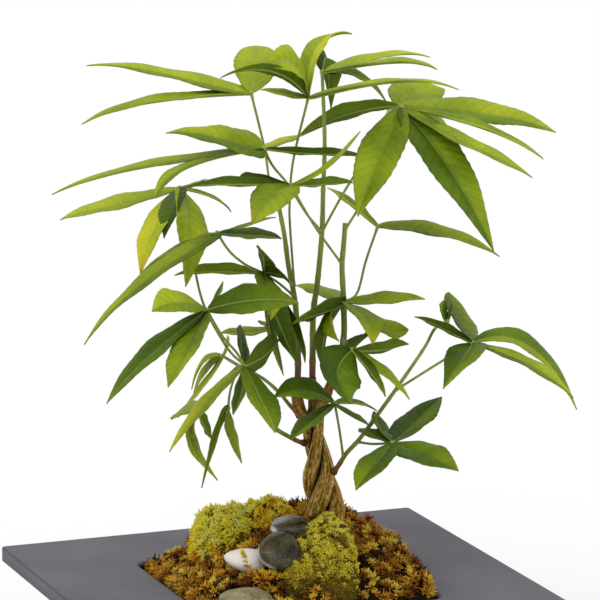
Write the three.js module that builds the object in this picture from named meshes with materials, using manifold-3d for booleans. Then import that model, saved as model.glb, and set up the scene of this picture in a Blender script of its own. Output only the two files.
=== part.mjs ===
// A potted money tree: three plants with twisted trunks in one mossy mound, in a square pot with
// a wide flat rim. Millimetres, +Z up, origin at the centre of the pot's base.
import * as THREE from "three";
import { mergeVertices } from "three/addons/utils/BufferGeometryUtils.js";
import Module from "manifold-3d";

const wasm = await Module();
wasm.setup();

// ---- Driving dimensions -------------------------------------------------------------------

const POT = {
  height: 100,
  rimSide: 300, // outer side of the square rim slab
  rimThickness: 10.5,
  rimCorner: 1.5,
  opening: 157, // inner side of the rim and of the cavity's mouth
  openingRadius: 9,
  bodyTop: 190, // outer side of the body just under the rim
  bodyBase: 146,
  bodyRadius: 16,
  cavityBase: 122,
  floor: 9,
};
const CORNER_STEPS = { large: 5, small: 2 };
const SOIL = { top: -13, gap: 0.4, shrink: 1.2 }; // top is measured from the rim
const GAP = 0.3; // clearance between pieces that touch

// The plant is laid out as it is seen from the front: x right, y away, z up from the rim.
const FRONT_TURN = THREE.MathUtils.degToRad(-21.3);

const MOUND = {
  centre: [1, 0],
  half: [76.5, 77],
  squareness: 12,
  bottom: -12.7,
  edge: -6,
  top: 34,
  lean: 0.7, // how much it falls just right of the trunk, for each millimetre
  leanReach: 16, // how far that fall goes on
  // How the heap falls to each wall: late and steeply at the back and the right, gently elsewhere.
  fall: { left: [1.3, 0.8], right: [60, 0.4], front: [2, 1], back: [30, 0.45] },
  // A low place: centre as seen from the front, reach, and the share of the height that it takes.
  hollow: { at: [-80, 40], reach: 40, depth: 0.5 },
  lumps: [1.7, 1.1, 0.7],
  rings: 7,
  around: 32,
};

// The trunk: its middle line, and each strand's radius, by height over the rim.
const TRUNK = {
  line: [
    [25, 15, -30],
    [25, 15, 39],
    [22, 15, 66],
    [19.4, 15, 84],
    [18.4, 15, 93],
    [16.6, 15, 104],
    [16.8, 15, 112],
  ],
  strand: [
    [-30, 5.6],
    [24, 6.6],
    [39, 6.1],
    [54, 5.4],
    [66, 5.0],
    [76, 3.9],
    [84, 3.4],
    [93, 3.2],
    [104, 3.5],
    [112, 3.7],
  ],
  lay: 90, // height of one full turn of the twist
  topPhase: -18, // degrees, the right strand's place round the middle line at the top
  top: 104,
  step: 7,
  sides: 8,
  spread: 1.336, // middle line to strand axis, in strand radii
};
// The hole that the twisted trunk stands in, its centre as seen from the front.
const HOLE = { radius: 15.6, centre: [25, 15], sides: 20, bottom: -40, top: 80 };
const FOOT = SOIL.top - 18;
const FOOT_DIP = 3.4; // the slanted feet reach this much lower than their middles

// Where each strand goes above the twist, and the radius there.
const ARMS = {
  left: {
    phase: 240,
    path: [[8.8, 14, 111], [6.8, 14, 119], [7.2, 14, 131.5]],
    radii: [4, 3.7, 2.6],
  },
  right: {
    phase: 0,
    path: [[21.2, 10.5, 111], [25.4, 11, 120], [29.4, 11, 131.5]],
    radii: [3.6, 3.3, 2.3],
  },
  middle: {
    phase: 120,
    path: [[17.6, 21, 112], [17.2, 22, 121], [16.8, 20, 131.5]],
    radii: [3.5, 3.1, 2.4],
  },
};

// Shoots: the green stem of each, from its foot up, with the radius at the foot and the top.
const SHOOTS = {
  left: {
    stem: [[7.2, 14, 132.2], [7.4, 15, 142], [5.7, 20, 180], [1, 24, 206], [-1.5, 26, 225], [-5, 28, 243]],
    radii: [2.2, 1.4],
  },
  middle: {
    stem: [[16.8, 20, 132.4], [17, 21, 150], [17.5, 22, 176], [20, 22, 194], [23, 22, 228],
      [23.7, 22, 255], [24.7, 22, 285], [23, 20, 333]],
    radii: [2.2, 1.2],
  },
  right: {
    stem: [[29.4, 11, 132.2], [33.2, 10, 145], [37, 8, 159], [37, 8, 184], [36, 8, 209], [37, 8, 222],
      [38, 8, 236]],
    radii: [2.2, 1.6],
  },
  branch: {
    stem: [[30.6, 8, 70.5], [34, 4.5, 76], [39, 0, 85], [47, -4, 95], [60, -8, 114], [70, -7, 128],
      [90, 5, 155], [97, 16, 165], [105, 24, 168]],
    radii: [1.6, 1],
  },
  low: {
    stem: [[11.6, 13.2, 89], [8.6, 9.5, 90.5], [1, 2, 96], [-9, -8, 105], [-19, -25, 125], [-25, -36, 143],
      [-27, -40, 152]],
    radii: [1.5, 1.2],
  },
  sprig: {
    stem: [[8.1, 16.5, 106], [7, 18, 107.2], [1, 24, 113], [-5, 30, 119], [-16, 42, 126],
      [-32, 50, 133], [-43, 62, 137]],
    radii: [1.3, 1],
  },
};
const STEM = { sides: 7, step: 17 };
const STALK = { radius: 1, sides: 5, step: 17 };
const HUB_RADIUS = 1.9;

// Compound leaves. "stalk" runs from the shoot to the hub. A leaflet is the middle point of its
// rib, its tip, the width of the blade, the blade's turn about the rib in degrees, and its belly
// where that isn't the usual one.
const LEAVES = {
  A: {
    shoot: "left",
    hub: [-23, 30, 318],
    stalk: [[-5, 28, 243], [-11, 28, 260], [-14, 32, 279]],
    leaflets: [
      [[-76, 30, 331], [-129, 22, 337], 27, 10, 0.5],
      [[-78, 10, 318], [-131, -8, 303], 25, 2, 0.85],
      [[-20, 60, 335], [-22, 92, 341], 30, 0, 0.95],
    ],
  },
  G: {
    shoot: "left",
    hub: [14, -25, 323],
    stalk: [[5, 20, 192], [2, 20, 236], [2, 5, 249], [4, -12, 278]],
    leaflets: [
      [[-8, -44, 343], [-41, -58, 340], 14, -28],
      [[6, -38, 347], [-12, -46, 345], 28, 41],
      [[18, -8, 353], [42, 6, 360], 25, 18],
      [[1, -30, 326], [-16, -34, 329], 12, 18],
      [[62, -45, 336], [108, -55, 332], 21, -3, 0.45],
    ],
  },
  H: {
    shoot: "middle",
    hub: [23, 20, 333],
    stalk: [],
    leaflets: [
      [[59, 28, 343], [93, 34, 341], 22, -3, 0.6],
      [[63, 0, 343], [96, -12, 339], 20, -4, 0.85],
      [[45, 38, 330], [65, 32, 312], 16, -18],
      [[28, 46, 339], [29, 60, 304], 26, -45, 0.9],
      [[23, 60, 335], [20, 100, 327], 25, -42],
    ],
  },
  E: {
    shoot: "right",
    hub: [74, 0, 313],
    stalk: [[38, 8, 232], [48, 8, 248], [64, 10, 274], [73, 6, 294]],
    leaflets: [
      [[60, -36, 291], [45, -60, 252], 31, 2],
      [[100, -34, 286], [131, -56, 229], 34, -9, 0.85],
      [[120, 2, 303], [165, -4, 280], 22, -3],
      [[115, -26, 295], [156, -36, 273], 24, -1],
    ],
  },
  F: {
    shoot: "middle",
    hub: [73, 30, 310],
    stalk: [[23, 22, 228], [40, 26, 258], [57, 32, 282]],
    leaflets: [
      [[42, 38, 306], [7, 40, 287], 26, -29],
      [[126, 42, 305], [176, 44, 290], 32, -20],
      [[85, 60, 315], [105, 84, 313], 34, -16],
      [[67, 80, 299], [61, 118, 276], 26, 60],
      [[93, 74, 302], [110, 104, 280], 24, -45],
    ],
  },
  B: {
    shoot: "middle",
    hub: [-14, -50, 294],
    stalk: [[23, 22, 228], [13, -2, 244], [1, -25, 267], [-9, -40, 282]],
    leaflets: [
      [[-42, -58, 303], [-75, -66, 306], 34, 22, 0.42],
      [[-77, -64, 288], [-146, -78, 269], 22, 2, 0.85],
      [[-59, -78, 289], [-81, -98, 270], 22, -8],
      [[-3, -20, 294], [11, 6, 294], 16, 6],
      [[18, -36, 290], [50, -16, 283], 18, 23],
    ],
  },
  C: {
    shoot: "right",
    hub: [3, -58, 272],
    stalk: [[36, 8, 209], [21, -10, 233], [10, -40, 256]],
    leaflets: [
      [[-31, -62, 275], [-62, -70, 272], 20, -27],
      [[-16, -46, 275], [-30, -36, 272], 16, -27],
      [[-7, -84, 271], [-21, -98, 254], 29, 7],
      [[22, -52, 273], [42, -44, 271], 20, 26],
      [[27, -74, 288], [46, -84, 310], 12, -26],
    ],
  },
  I: {
    shoot: "right",
    hub: [60, 50, 227],
    stalk: [[37, 8, 184], [46, 28, 186], [52, 42, 205]],
    leaflets: [
      [[98, 48, 225], [140, 42, 208], 28, -7, 0.8],
      [[43, 60, 241], [27, 78, 248], 22, -17],
    ],
  },
  M: {
    shoot: "left",
    hub: [-44, -34, 237],
    stalk: [[-15, 14, 202], [-28, -14, 214], [-37, -28, 225]],
    leaflets: [
      [[-23, -34, 237], [-3, -38, 234], 22, -8],
      [[-89, -60, 212], [-127, -76, 173], 27, -1, 0.42],
      [[-69, -20, 226], [-93, -14, 208], 16, 10],
      [[-25, -6, 238], [-7, 14, 239], 8, 8],
    ],
  },
  K: {
    shoot: "low",
    hub: [-70, 40, 254],
    stalk: [[-27, -40, 152], [-40, 2, 157], [-54, 14, 181], [-61, 28, 207], [-66, 38, 236]],
    leaflets: [
      [[-111, 44, 244], [-149, 44, 232], 28, 11],
      [[-86, 8, 234], [-94, -8, 205], 26, -22, 0.78],
      [[-61, 6, 236], [-65, -12, 198], 29, 42, 0.95],
      [[-50, 52, 247], [-37, 70, 233], 8, -21],
      [[-62, 70, 252], [-56, 92, 250], 16, 19],
      [[-75, 10, 247], [-79, -2, 228], 20, -27, 0.8],
    ],
  },
  N: {
    shoot: "left",
    hub: [-15, 14, 202],
    stalk: [[5.5, 20, 185], [-5, 16, 195]],
    leaflets: [
      [[-43, 16, 205], [-73, 12, 201], 22, -30],
      [[-13, 2, 214], [-19, -10, 224], 20, 47],
      [[-5, 2, 205], [4, -12, 198], 18, 43],
      [[-11, -14, 198], [-10, -36, 181], 24, 38],
      [[-4, -8, 177], [6, -20, 150], 27, 85],
      [[-10, 10, 165], [-2, 4, 136], 12, 13],
      [[5, -2, 171], [12, -12, 148], 20, 60],
    ],
  },
  P: {
    shoot: "low",
    hub: [-50, -64, 193],
    stalk: [[-27, -40, 152], [-31, -42, 160], [-40, -48, 172]],
    leaflets: [
      [[-65, -88, 204], [-83, -104, 200], 27, 26, 1.12],
      [[-81, -84, 174], [-112, -98, 140], 27, 0],
      [[-62, -98, 178], [-73, -114, 154], 27, -23],
      [[-23, -66, 201], [8, -62, 197], 30, -27],
      [[-45, -34, 195], [-41, -4, 200], 8, 43],
    ],
  },
  Q: {
    shoot: "low",
    hub: [-27, -40, 152],
    stalk: [],
    leaflets: [
      [[-49, -58, 135], [-74, -72, 103], 20, -9],
      [[-15, -72, 138], [-7, -92, 120], 25, 22],
      [[-30, -48, 136], [-34, -54, 123], 18, -39],
      [[-28, -18, 161], [-30, 8, 169], 16, -60],
      [[-16, -22, 156], [-5, 6, 159], 24, 74],
    ],
  },
  R: {
    shoot: "sprig",
    hub: [-43, 62, 137],
    stalk: [],
    leaflets: [
      [[-56, 66, 133], [-64, 68, 113], 10, 19],
      [[-54, 64, 120], [-73, 66, 94], 12, 16],
      [[-56, 74, 124], [-64, 86, 101], 10, 57],
      [[-40, 66, 144], [-40, 72, 149], 6, 51],
    ],
  },
  S: {
    shoot: "sprig",
    hub: [-38, -8, 117],
    stalk: [[-32, 50, 133], [-34, 30, 131], [-37, 10, 124]],
    leaflets: [
      [[-44, -16, 107], [-55, -26, 68], 14, -64],
      [[-36, -14, 103], [-29, -20, 83], 16, 31],
    ],
  },
  O: {
    shoot: "sprig",
    hub: [-58, 10, 112],
    stalk: [[-32, 50, 133], [-40, 36, 128], [-48, 22, 119]],
    leaflets: [
      [[-53, 4, 104], [-49, -2, 95], 18, 71],
      [[-62, 6, 92], [-45, 0, 67], 18, 18],
      [[-68, 34, 107], [-77, 60, 94], 18, 35],
    ],
  },
  T: {
    shoot: "branch",
    hub: [121, 8, 157],
    stalk: [[70.5, -6.5, 128.5], [101, -6, 148]],
    leaflets: [
      [[157, 16, 156], [190, 12, 112], 27, -15],
      [[155, -12, 149], [185, -22, 127], 25, 3],
      [[115, 44, 167], [108, 74, 178], 28, -38],
      [[103, 6, 168], [83, 0, 176], 18, -22],
      [[112, -30, 155], [100, -50, 139], 26, -4, 0.55],
    ],
  },
  J: {
    shoot: "branch",
    hub: [105, 24, 168],
    stalk: [],
    leaflets: [
      [[103, 30, 174], [104, 34, 181], 14, -60],
      [[107, 32, 173], [108, 40, 178], 7, 60],
    ],
  },
  V: {
    shoot: "branch",
    hub: [68, -34, 100],
    stalk: [[46, -3.5, 93.5], [56, -20, 96]],
    leaflets: [
      [[83, -4, 108], [102, 22, 118], 28, 8],
      [[87, -60, 100], [109, -78, 92], 28, -11],
      [[57, -62, 95], [44, -84, 81], 26, -11],
      [[58, -20, 103], [48, -6, 103], 22, -6],
      [[63, -12, 104], [57, 6, 112], 20, -38],
    ],
  },
  W: {
    shoot: "right",
    hub: [37, 8, 184],
    stalk: [],
    leaflets: [
      [[63, 8, 187], [90, 8, 186], 22, -10],
      [[23, 42, 185], [6, 56, 186], 22, -3],
      [[23, -10, 183], [4, -22, 176], 29, -39],
      [[51, -26, 182], [55, -42, 166], 26, 21, 0.75],
      [[63, 24, 165], [80, 28, 162], 26, -22],
      [[26, -2, 175], [34, -10, 162], 18, -59],
      [[24, 4, 167], [23, 2, 143], 23, -46],
    ],
  },
  X: {
    shoot: "right",
    hub: [42, -38, 162],
    stalk: [[37, 8, 161], [38, -10, 163]],
    leaflets: [
      [[34, -68, 154], [41, -84, 137], 35, 41],
      [[55, -52, 151], [63, -60, 136], 18, 61],
      [[62, -34, 148], [79, -36, 129], 18, -11],
      [[62, -18, 160], [79, -10, 160], 24, 34],
      [[48, -19, 168], [56, 4, 164], 25, 30],
    ],
  },
  Y: {
    shoot: "branch",
    hub: [31, -24, 124],
    stalk: [[37, 1.5, 82], [34, -16, 106]],
    leaflets: [
      [[13, -28, 135], [-8, -34, 130], 28, 19],
      [[15, -34, 115], [3, -42, 104], 24, -6],
      [[43, -36, 119], [53, -40, 113], 12, 11],
      [[45, -6, 121], [59, 6, 112], 12, -14],
    ],
  },
  Z: {
    shoot: "left",
    hub: [-10, 18, 165],
    stalk: [[7, 18, 170], [-2, 18, 168]],
    leaflets: [
      [[-27, 12, 164], [-43, 6, 164], 18, 7],
      [[-14, 26, 166], [-17, 36, 166], 10, -15],
    ],
  },
};

const BLADE = {
  thickness: 0.8,
  fold: 9, // degrees that each half is raised from flat
  belly: 1.02, // over 1 moves the widest place out towards the tip
  taper: [0.62, 0.32], // how hollow the outline is at the foot, and how much more at the tip
  waves: 2.6, // waves along one edge
  waveHeight: 0.022, // of the blade's width
  hook: 0.05, // droop of the tip, of the leaflet's length
  footWidth: 1.6,
  tipWidth: 0.5,
  segment: 18, // length of one blade segment
};

// Moss clumps and stones: centre as seen from the front, half sizes and turn about Z. A clump's
// lobe rises over the mound where "follow" is 1, over the rim where it's 0, or in between.
const CLUMPS = {
  moss_clump_yellow: [
    { at: [-40, 33], half: [23, 24], follow: 0, rise: 37, turn: -8, seed: 5 },
    { at: [-13, 38], half: [19, 18], follow: 0, rise: 42, turn: 0, seed: 19 },
  ],
  moss_cushion_green: [
    { at: [29, -33], half: [16.5, 26], follow: 0.5, rise: 36, turn: 4, seed: 9 },
    { at: [7, -49], half: [12, 13], follow: 1, rise: 15, turn: 0, seed: 13 },
  ],
};
const CLUMP = {
  rings: 5,
  around: 18,
  lift: 1.2,
  fall: 4.2,
  waist: 0.05,
  notch: 0.04,
  square: 0.1,
  lump: 0.06,
};
const STONES = {
  stone_dark_back: { at: [4, -24, 39.5], half: [16, 10, 8], tilt: [14, 4, -6], seed: 3 },
  stone_dark_front: { at: [-4, -50, 32], half: [14.5, 13, 7.5], tilt: [34, 22, -24], seed: 7 },
  stone_white: { at: [-26, -43, 24.5], half: [15.5, 9, 7], tilt: [10, 6, 12], seed: 11 },
  stone_brown: { at: [-26, -78, 7], half: [18.5, 11, 8], tilt: [12, 4, -8], seed: 17 },
};
const STONE = { detail: 2, bumps: [0.07, 0.06, 0.05] };

// ---- Meshes and solids --------------------------------------------------------------------

// A closed geometry's shared vertices merged, as a solid that can be joined and cut.
function solidOf(geometry) {
  const bare = geometry.clone();
  bare.deleteAttribute("normal");
  bare.deleteAttribute("uv");
  const merged = mergeVertices(bare, 1e-4);
  return new wasm.Manifold(
    new wasm.Mesh({
      numProp: 3,
      vertProperties: new Float32Array(merged.attributes.position.array),
      triVerts: new Uint32Array(merged.index.array),
    }),
  );
}

function geometryOf(solid) {
  const mesh = solid.getMesh();
  const geometry = new THREE.BufferGeometry();
  geometry.setAttribute("position", new THREE.BufferAttribute(mesh.vertProperties, 3));
  geometry.setIndex(new THREE.BufferAttribute(mesh.triVerts, 1));
  geometry.computeVertexNormals();
  return geometry;
}

function geometryFrom(points, triangles) {
  const geometry = new THREE.BufferGeometry();
  geometry.setAttribute("position", new THREE.Float32BufferAttribute(points.flat(), 3));
  geometry.setIndex(triangles.flat());
  return geometry;
}

// Rings of equal length joined into a closed skin, with a fan on each end ring.
function skin(rings) {
  const count = rings[0].length;
  const triangles = [];
  for (let i = 0; i + 1 < rings.length; i += 1) {
    for (let j = 0; j < count; j += 1) {
      const a = i * count + j;
      const b = i * count + ((j + 1) % count);
      triangles.push([a, b, b + count], [a, b + count, a + count]);
    }
  }
  const points = rings.flat();
  const last = (rings.length - 1) * count;
  for (let j = 1; j + 1 < count; j += 1) {
    triangles.push([0, j + 1, j], [last, last + j, last + j + 1]);
  }
  return geometryFrom(points, triangles);
}

const vector = (p) => new THREE.Vector3(...p);

// A round stem along a smooth path, its radius going evenly through the given radii.
function stem(path, radii, sides, step) {
  const curve = new THREE.CatmullRomCurve3(path.map(vector), false, "centripetal");
  const steps = Math.max(2, Math.round(curve.getLength() / step));
  const frames = curve.computeFrenetFrames(steps, false);
  const rings = [];
  for (let i = 0; i <= steps; i += 1) {
    const t = i / steps;
    const centre = curve.getPointAt(t);
    const place = t * (radii.length - 1);
    const k = Math.min(Math.floor(place), radii.length - 2);
    const radius = THREE.MathUtils.lerp(radii[k], radii[k + 1], place - k);
    const ring = [];
    for (let j = 0; j < sides; j += 1) {
      const angle = (2 * Math.PI * j) / sides;
      const p = centre
        .clone()
        .addScaledVector(frames.normals[i], radius * Math.cos(angle))
        .addScaledVector(frames.binormals[i], radius * Math.sin(angle));
      ring.push(p.toArray());
    }
    rings.push(ring);
  }
  return solidOf(skin(rings));
}

// Repeatable draws between 0 and 1.
function draws(seed) {
  let state = seed * 2654435761;
  return () => {
    state = (Math.imul(state ^ (state >>> 15), 2246822519) + 374761393) >>> 0;
    return ((state ^ (state >>> 13)) >>> 0) / 4294967296;
  };
}

function joined(solids) {
  return solids.reduce((all, one) => all.add(one));
}

function largest(solid) {
  return solid.decompose().sort((a, b) => b.volume() - a.volume())[0];
}

// ---- Leaflets -----------------------------------------------------------------------------

// The blade's width at t along its rib: a narrow foot, a full middle, a drawn-out tip.
function bladeWidth(t, width, belly) {
  const [foot, tip] = BLADE.taper;
  const swell = Math.sin(Math.PI * t ** belly) ** (foot + tip * t);
  return Math.max(width * swell, THREE.MathUtils.lerp(BLADE.footWidth, BLADE.tipWidth, t));
}

function blade(hub, [middle, tip, width, turn, belly = BLADE.belly], seed) {
  const start = vector(hub);
  const end = vector(tip);
  end.z += BLADE.hook * start.distanceTo(end);
  const control = vector(middle)
    .multiplyScalar(2)
    .addScaledVector(start, -0.5)
    .addScaledVector(end, -0.5);
  const rib = new THREE.QuadraticBezierCurve3(start, control, end);
  const length = rib.getLength();
  const steps = THREE.MathUtils.clamp(Math.round(length / BLADE.segment), 4, 7);
  const heading = new THREE.Vector3(end.x - start.x, end.y - start.y, 0).normalize();
  const level = new THREE.Vector3().crossVectors(heading, new THREE.Vector3(0, 0, 1));
  const random = draws(seed);
  const phase = [random() * 2 * Math.PI, random() * 2 * Math.PI];
  const fold = THREE.MathUtils.degToRad(BLADE.fold);
  const rings = [];
  for (let i = 0; i <= steps; i += 1) {
    const t = i / steps;
    const centre = rib.getPoint(t);
    centre.z -= BLADE.hook * length * t ** 6;
    const along = rib.getTangent(t);
    const side = level.clone().applyAxisAngle(along, -THREE.MathUtils.degToRad(turn));
    const face = new THREE.Vector3().crossVectors(side, along).normalize();
    side.crossVectors(along, face).normalize();
    const half = bladeWidth(t, width, belly) / 2;
    const thick = face.clone().multiplyScalar(BLADE.thickness / 2);
    const dip = half * Math.sin(fold);
    centre.addScaledVector(face, -dip);
    const edge = (sign, k) => {
      const wave = Math.sin(BLADE.waves * 2 * Math.PI * t + phase[k]) * Math.sin(Math.PI * t);
      return centre
        .clone()
        .addScaledVector(side, sign * half * Math.cos(fold))
        .addScaledVector(face, dip + BLADE.waveHeight * width * wave);
    };
    const right = edge(1, 0);
    const left = edge(-1, 1);
    rings.push(
      [
        right.clone().sub(thick),
        right.clone().add(thick),
        centre.clone().add(thick),
        left.clone().add(thick),
        left.clone().sub(thick),
        centre.clone().sub(thick),
      ].map((p) => p.toArray()),
    );
  }
  return solidOf(bladeSkin(rings));
}

// The skin of a blade: both faces are split along the same diagonals.
function bladeSkin(rings) {
  const count = 6;
  const triangles = [];
  const quad = (a, b, c, d) => triangles.push([a, b, c], [a, c, d]);
  for (let i = 0; i + 1 < rings.length; i += 1) {
    const o = i * count;
    const n = o + count;
    quad(n + 0, n + 1, o + 1, o + 0);
    quad(n + 1, n + 2, o + 2, o + 1);
    quad(n + 3, o + 3, o + 2, n + 2);
    quad(n + 3, n + 4, o + 4, o + 3);
    quad(o + 5, o + 4, n + 4, n + 5);
    quad(n + 5, n + 0, o + 0, o + 5);
  }
  const last = (rings.length - 1) * count;
  triangles.push([0, 1, 2], [0, 2, 5], [2, 3, 5], [3, 4, 5]);
  triangles.push([last, last + 2, last + 1], [last, last + 5, last + 2]);
  triangles.push([last + 2, last + 5, last + 3], [last + 3, last + 5, last + 4]);
  return geometryFrom(rings.flat(), triangles);
}

function hubKnob(hub) {
  const knob = new THREE.IcosahedronGeometry(HUB_RADIUS, 0);
  knob.translate(...hub);
  return solidOf(knob);
}

// One shoot: its green stem with every compound leaf that grows on it.
function shoot(name) {
  const { stem: path, radii: taper } = SHOOTS[name];
  const pieces = [stem(path, taper, STEM.sides, STEM.step)];
  Object.values(LEAVES).forEach((leaf, row) => {
    if (leaf.shoot !== name) return;
    if (leaf.stalk.length) {
      const radii = [STALK.radius, STALK.radius];
      pieces.push(stem([...leaf.stalk, leaf.hub], radii, STALK.sides, STALK.step));
    }
    pieces.push(hubKnob(leaf.hub));
    leaf.leaflets.forEach((leaflet, k) => pieces.push(blade(leaf.hub, leaflet, 31 * row + k + 1)));
  });
  return joined(pieces);
}

// ---- Trunk --------------------------------------------------------------------------------

function interpolate(rows, at) {
  const k = rows.findIndex((row, i) => i > 0 && at <= row[0]);
  const [z0, v0] = rows[k - 1];
  const [z1, v1] = rows[k];
  return THREE.MathUtils.lerp(v0, v1, (at - z0) / (z1 - z0));
}

const trunkLine = (axis) => TRUNK.line.map((p) => [p[2], p[axis]]);

// One strand: a helix about the trunk's middle line, then its arm up to the shoot.
function strand(name, footZ) {
  const { phase, path, radii } = ARMS[name];
  const points = [];
  const thickness = [];
  for (let z = footZ; z <= TRUNK.top; z += TRUNK.step) {
    const radius = interpolate(TRUNK.strand, z);
    const turn = TRUNK.topPhase + phase + (360 * (z - TRUNK.top)) / TRUNK.lay;
    const angle = THREE.MathUtils.degToRad(turn);
    const x = interpolate(trunkLine(0), z) + TRUNK.spread * radius * Math.cos(angle);
    const y = interpolate(trunkLine(1), z) + TRUNK.spread * radius * Math.sin(angle);
    points.push([x, y, z]);
    thickness.push(radius);
  }
  return stem([...points, ...path], [...thickness, ...radii], TRUNK.sides, TRUNK.step);
}

// ---- Ground -------------------------------------------------------------------------------

// A place seen from the front, in the pot's own axes.
function toPot([x, y]) {
  const cos = Math.cos(FRONT_TURN);
  const sin = Math.sin(FRONT_TURN);
  return [x * cos - y * sin, x * sin + y * cos];
}

// Distance from the mound's middle as a share of its half side: 1 on its square outline.
function moundShare(x, y) {
  const p = MOUND.squareness;
  const across = Math.abs(x - MOUND.centre[0]) / MOUND.half[0];
  const away = Math.abs(y - MOUND.centre[1]) / MOUND.half[1];
  return (across ** p + away ** p) ** (1 / p);
}

// Height of the mound over the rim at a place in the pot's own axes.
function moundHeight(x, y) {
  const { left, right, front, back } = MOUND.fall;
  const slope = (share, [late, whole]) => (1 - Math.min(Math.abs(share), 1) ** late) ** whole;
  const across = (x - MOUND.centre[0]) / MOUND.half[0];
  const away = (y - MOUND.centre[1]) / MOUND.half[1];
  const [hollowX, hollowY] = toPot(MOUND.hollow.at);
  const fromHollow = Math.hypot(x - hollowX, y - hollowY) / MOUND.hollow.reach;
  const dome =
    slope(across, across < 0 ? left : right) *
    slope(away, away < 0 ? front : back) *
    (1 - MOUND.hollow.depth * Math.exp(-(fromHollow ** 2)));
  const lumps =
    MOUND.lumps[0] * Math.sin(0.13 * x + 1.1) * Math.sin(0.15 * y - 0.4) +
    MOUND.lumps[1] * Math.sin(0.29 * x - 0.23 * y + 0.7) +
    MOUND.lumps[2] * Math.sin(0.21 * x + 0.37 * y);
  const inside = Math.min(1, 3 * (1 - Math.min(moundShare(x, y), 1)) + 0.25);
  const seenAcross = x * Math.cos(FRONT_TURN) + y * Math.sin(FRONT_TURN);
  const past = THREE.MathUtils.clamp(seenAcross - HOLE.centre[0], 0, MOUND.leanReach);
  const top = MOUND.top - MOUND.lean * past;
  return MOUND.edge + (top - MOUND.edge) * dome + lumps * inside;
}

// A closed heap with a flat base: rings of points from its middle out to its outline, closer
// together near the outline.
function heap(rings, around, place, top, base) {
  const points = [];
  for (let i = 0; i <= rings; i += 1) {
    for (let j = 0; j < (i ? around : 1); j += 1) {
      const share = Math.sin((Math.PI * i) / (2 * rings));
      const [x, y] = place(share, (2 * Math.PI * j) / around);
      points.push([x, y, top(x, y, share)]);
    }
  }
  const at = (i, j) => (i ? 1 + (i - 1) * around + (j % around) : 0);
  const triangles = [];
  for (let j = 0; j < around; j += 1) {
    triangles.push([0, at(1, j), at(1, j + 1)]);
    for (let i = 1; i < rings; i += 1) {
      triangles.push([at(i, j), at(i + 1, j), at(i + 1, j + 1)]);
      triangles.push([at(i, j), at(i + 1, j + 1), at(i, j + 1)]);
    }
  }
  const rim = points.slice(-around);
  const foot = points.length;
  points.push(...rim.map(([x, y]) => [x, y, base]), [points[0][0], points[0][1], base]);
  for (let j = 0; j < around; j += 1) {
    const next = (j + 1) % around;
    triangles.push([at(rings, j), foot + j, foot + next]);
    triangles.push([at(rings, j), foot + next, at(rings, j + 1)]);
    triangles.push([foot + around, foot + next, foot + j]);
  }
  return solidOf(geometryFrom(points, triangles));
}

function mound(lift = 0) {
  const place = (share, angle) => {
    const p = MOUND.squareness;
    const c = Math.cos(angle);
    const s = Math.sin(angle);
    const reach = share / (Math.abs(c) ** p + Math.abs(s) ** p) ** (1 / p);
    return [MOUND.centre[0] + reach * c * MOUND.half[0], MOUND.centre[1] + reach * s * MOUND.half[1]];
  };
  const top = (x, y) => moundHeight(x, y) + lift;
  return heap(MOUND.rings, MOUND.around, place, top, MOUND.bottom);
}

// One lobe of a moss clump on the mound, in the pot's axes.
function lobe({ at, half, follow, rise, turn, seed }) {
  const [cx, cy] = toPot(at);
  const spin = THREE.MathUtils.degToRad(turn) + FRONT_TURN;
  const random = draws(seed);
  const phase = [random() * 6, random() * 6, random() * 6];
  const place = (share, angle) => {
    const waist = CLUMP.waist * Math.sin(3 * angle + phase[0]);
    const corners = CLUMP.square * Math.sin(2 * angle) ** 2;
    const wobble = 1 + waist + corners + CLUMP.notch * Math.sin(5 * angle + phase[1]);
    const u = share * half[0] * wobble * Math.cos(angle);
    const v = share * half[1] * wobble * Math.sin(angle);
    return [cx + u * Math.cos(spin) - v * Math.sin(spin), cy + u * Math.sin(spin) + v * Math.cos(spin)];
  };
  const top = (x, y, share) => {
    const lumps = 1 + CLUMP.lump * Math.sin(0.3 * x + phase[2]) * Math.sin(0.27 * y);
    const dome = Math.sqrt(Math.max(0, 1 - share ** CLUMP.fall));
    return follow * (moundHeight(x, y) + CLUMP.lift) + rise * dome * lumps;
  };
  return heap(CLUMP.rings, CLUMP.around, place, top, MOUND.bottom + 2);
}

function clump(lobes) {
  return largest(joined(lobes.map(lobe)).subtract(mound(GAP)));
}

function stone({ at, half, tilt, seed }, grow = 0) {
  const ball = new THREE.IcosahedronGeometry(1, STONE.detail);
  const random = draws(seed);
  const phase = [random() * 6, random() * 6, random() * 6];
  const [long, wide, high] = STONE.bumps;
  const position = ball.attributes.position;
  for (let i = 0; i < position.count; i += 1) {
    const p = new THREE.Vector3().fromBufferAttribute(position, i);
    const bump =
      1 +
      long * Math.sin(2.3 * p.x + phase[0]) +
      wide * Math.sin(2.9 * p.y + phase[1]) +
      high * Math.sin(3.1 * p.z + 2 * p.x + phase[2]);
    p.multiplyScalar(bump);
    position.setXYZ(i, p.x * (half[0] + grow), p.y * (half[1] + grow), p.z * (half[2] + grow));
  }
  const [tx, ty, tz] = tilt.map(THREE.MathUtils.degToRad);
  ball.rotateX(tx).rotateY(ty).rotateZ(tz + FRONT_TURN);
  const [x, y] = toPot(at);
  ball.translate(x, y, at[2]);
  return solidOf(ball);
}

// ---- Pot and soil -------------------------------------------------------------------------

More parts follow.
